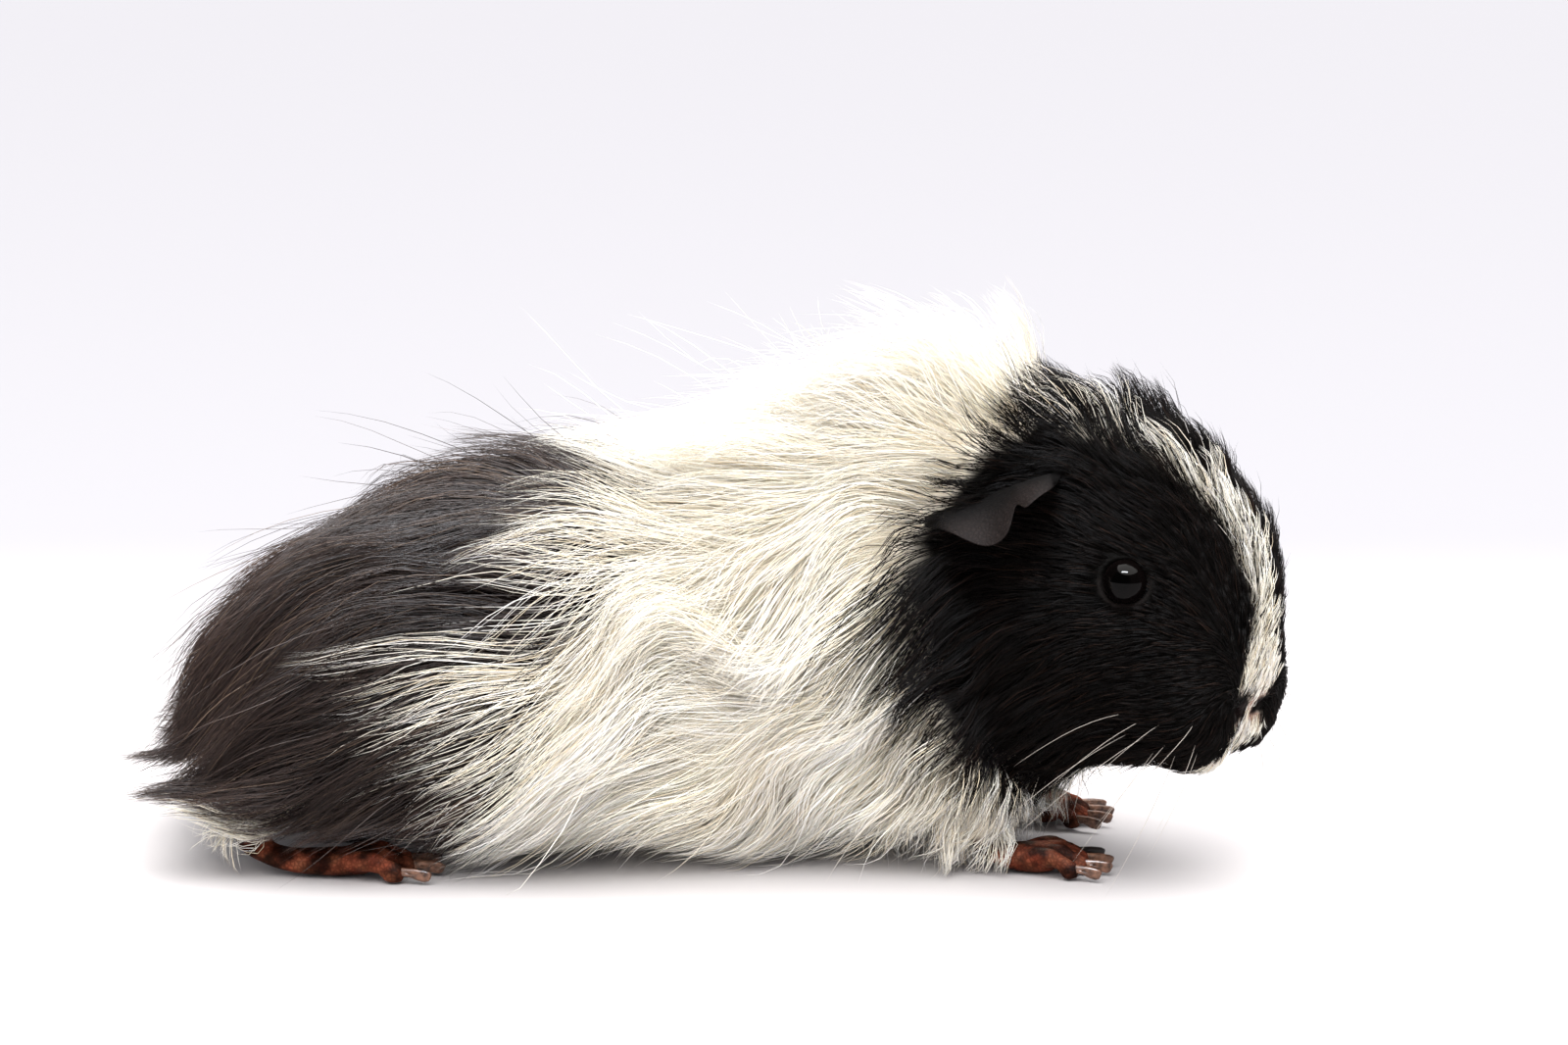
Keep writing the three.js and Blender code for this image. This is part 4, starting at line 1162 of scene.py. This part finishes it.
# Long stiff hairs of the upper lip as one mesh
def makeWhiskers():
    draw = np.random.default_rng(whisker["seed"])
    starts, ways, lengths = [], [], []
    for side in (1, -1):
        for i in range(whisker["count"]):
            row, column = i % 3, i // 3
            starts.append(onSide((69 - 4.2 * column, 14.5 + 2.0 * column, 42 - 4.0 * row), side))
            ways.append(onSide((0.35 - 0.32 * column + 0.1 * draw.normal(), 0.9, 0.05 - 0.35 * row
                                + 0.12 * draw.normal()), side))
            lengths.append(draw.uniform(24, 40) + 3 * column)
    starts, ways, lengths = np.array(starts), unit(np.array(ways)), np.array(lengths)
    path = np.empty((len(starts), whisker["segments"] + 1, 3))
    path[:, 0] = starts - ways * 3
    for k in range(1, whisker["segments"] + 1):
        ways = unit(ways + whisker["bend"] * np.array((-0.55, 0, -0.75)) * draw.uniform(0.5, 1.5, (len(ways), 1)))
        path[:, k] = path[:, k - 1] + ways * (lengths / whisker["segments"])[:, None]
    path = keepInside(outOfHead(path))
    path[..., 2] = np.maximum(path[..., 2], 0.6)
    count = len(path)
    colour = np.tile(np.array(linear("b9b1a8")[:3]), (count, 1))
    group = {"path": path, "width": np.full(count, whisker["width"]), "colour": colour,
             "uv": np.full((count, 2), 0.5), "out": unit(path[:, 4] - outOfHead(np.array((40.0, 0, 50)))),
             "ends": np.tile(np.array(((0.5, 0.5, 0.5), (1.1, 1.1, 1.1))), (count, 1, 1))}
    piece = hairMesh("whiskers", [group])[0]
    piece.data.materials.append(looks[0])
    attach(piece, "root")


makeWhiskers()


def eyeMaterial():
    # Wet cornea over a very dark iris: near black with a mirror highlight.
    material, tree = newMaterial("wetDarkEyeGloss")
    tone = addNode(tree, "ShaderNodeAttribute", {"attribute_name": "eyeTone"})
    shader = addNode(tree, "ShaderNodeBsdfPrincipled", None,
                     {"Roughness": 0.03, "IOR": 1.376, "Specular IOR Level": 0.12},
                     [("Base Color", tone, "Color")])
    addNode(tree, "ShaderNodeOutputMaterial", links=[("Surface", shader, 0)])
    return material


iris = {"pupil": 2.2, "iris": 3.9, "bulge": 0.35, "tones": ("010101", "040303", "060404")}


# Eyeball with a cornea that bulges a little, modelled along +Z and turned to look out of its socket
def makeEyes():
    bpy.ops.object.select_all(action="DESELECT")
    bpy.ops.mesh.primitive_uv_sphere_add(segments=48, ring_count=32, radius=eyeball["radius"] - 0.05)
    first = bpy.context.object
    points = readPoints(first)
    across = np.hypot(points[:, 0], points[:, 1])
    front = points[:, 2] > 0
    points[:, 2] += front * iris["bulge"] * bell(across, iris["iris"])
    writePoints(first, points)
    tone = [np.array(linear(h)[:3]) for h in iris["tones"]]
    ring = smoothStep(iris["pupil"] - 0.3, iris["pupil"] + 0.3, across)[:, None]
    white = smoothStep(iris["iris"] - 0.2, iris["iris"] + 0.4, across)[:, None]
    colour = (tone[0] * (1 - ring) + tone[1] * ring) * (1 - white) + tone[2] * white
    colour = np.where(front[:, None], colour, tone[2])
    layer = first.data.attributes.new("eyeTone", "FLOAT_COLOR", "POINT")
    layer.data.foreach_set("color", np.hstack([colour, np.ones((len(colour), 1))]).astype(np.float32).ravel())
    first.data.materials.append(eyeMaterial())
    for word, side in (("Left", 1), ("Right", -1)):
        ball = first.copy()
        ball.data = first.data.copy()
        bpy.context.scene.collection.objects.link(ball)
        way = Vector(onSide(eyeball["looks"], side)).normalized()
        turn = np.array(way.to_track_quat("Z", "Y").to_matrix())
        writePoints(ball, outOfHead(readPoints(ball) @ turn.T + onSide(eyeball["place"], side)))
        finishPiece(ball, "eyeball" + word, ["eye_" + word.lower()])
    bpy.data.objects.remove(first)


def hornMaterial(name, dark, pale):
    # Claw horn: satin, with growth lines across it, mottled from dark to pale.
    material, tree = newMaterial(name)
    place = addNode(tree, "ShaderNodeTexCoord")
    streak = addNode(tree, "ShaderNodeTexNoise", None, {"Scale": 1 / 0.0014, "Detail": 3.0}, [("Vector", place, "Object")])
    ramp = addNode(tree, "ShaderNodeValToRGB", None, None, [("Fac", streak, 0)])
    ramp.color_ramp.elements[0].position = 0.35
    ramp.color_ramp.elements[0].color = linear(dark)
    ramp.color_ramp.elements[1].position = 0.7
    ramp.color_ramp.elements[1].color = linear(pale)
    bump = addNode(tree, "ShaderNodeBump", None, {"Strength": 0.25, "Distance": 0.0002}, [("Height", streak, 0)])
    shader = addNode(tree, "ShaderNodeBsdfPrincipled", None, {"Roughness": 0.38, "IOR": 1.55},
                     [("Base Color", ramp, 0), ("Normal", bump, 0)])
    addNode(tree, "ShaderNodeOutputMaterial", links=[("Surface", shader, 0)])
    return material


claws = {
    "pale": ("3a2419", "8c6550"), "dark": ("0b0807", "1d1512"), "darkOne": "fore_right_4",
    "radius": 1.05, "share": 0.92,
}


# One claw is modelled along +X and copied to each toe
def makeClaws():
    path = [(-0.2, 0, -0.1), (0.2, 0, 0.6), (0.6, 0, 0.4), (1.0, 0, -1.5)]
    first = limb("claw", path, [claws["radius"] * k for k in (0.9, 0.85, 0.6, 0.12)], flat=1.15, rings=14, around=12, ends=20)
    shape = readPoints(first)
    horn = {key: hornMaterial(key + "ClawHornSatin", *claws[key]) for key in ("pale", "dark")}
    for name, (size, heel, turn) in feet.items():
        for i, (root, way) in enumerate(toeRoots(name)):
            label = f"{name}_{i + 1}"
            shade = "dark" if label == claws["darkOne"] else "pale"
            claw = first.copy()
            claw.data = first.data.copy()
            bpy.context.scene.collection.objects.link(claw)
            side = np.array((-way[1], way[0], 0))
            start = root + way * (size["toeLength"] - 0.6) + np.array((0, 0, 2.3))
            points = (start + way * shape[:, :1] * (size["claw"] * claws["share"]) + side * shape[:, 1:2]
                      + np.array((0, 0, 1.0)) * shape[:, 2:])
            writePoints(claw, settleOnFloor(points))
            claw.data.materials.append(horn[shade])
            end, word, number = label.split("_")
            finishPiece(claw, f"claw{end.title()}{word.title()}{number}", ["claw_" + label])
    bpy.data.objects.remove(first)


makeEyes()
makeClaws()
flesh.data.materials.clear()
flesh.data.materials.append(skinMaterial())
fleshNodes = [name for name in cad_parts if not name.startswith(("eye", "claw"))]
finishPiece(flesh, "skin", fleshNodes)
print("skin", len(flesh.data.polygons), "faces")

bpy.context.view_layer.update()
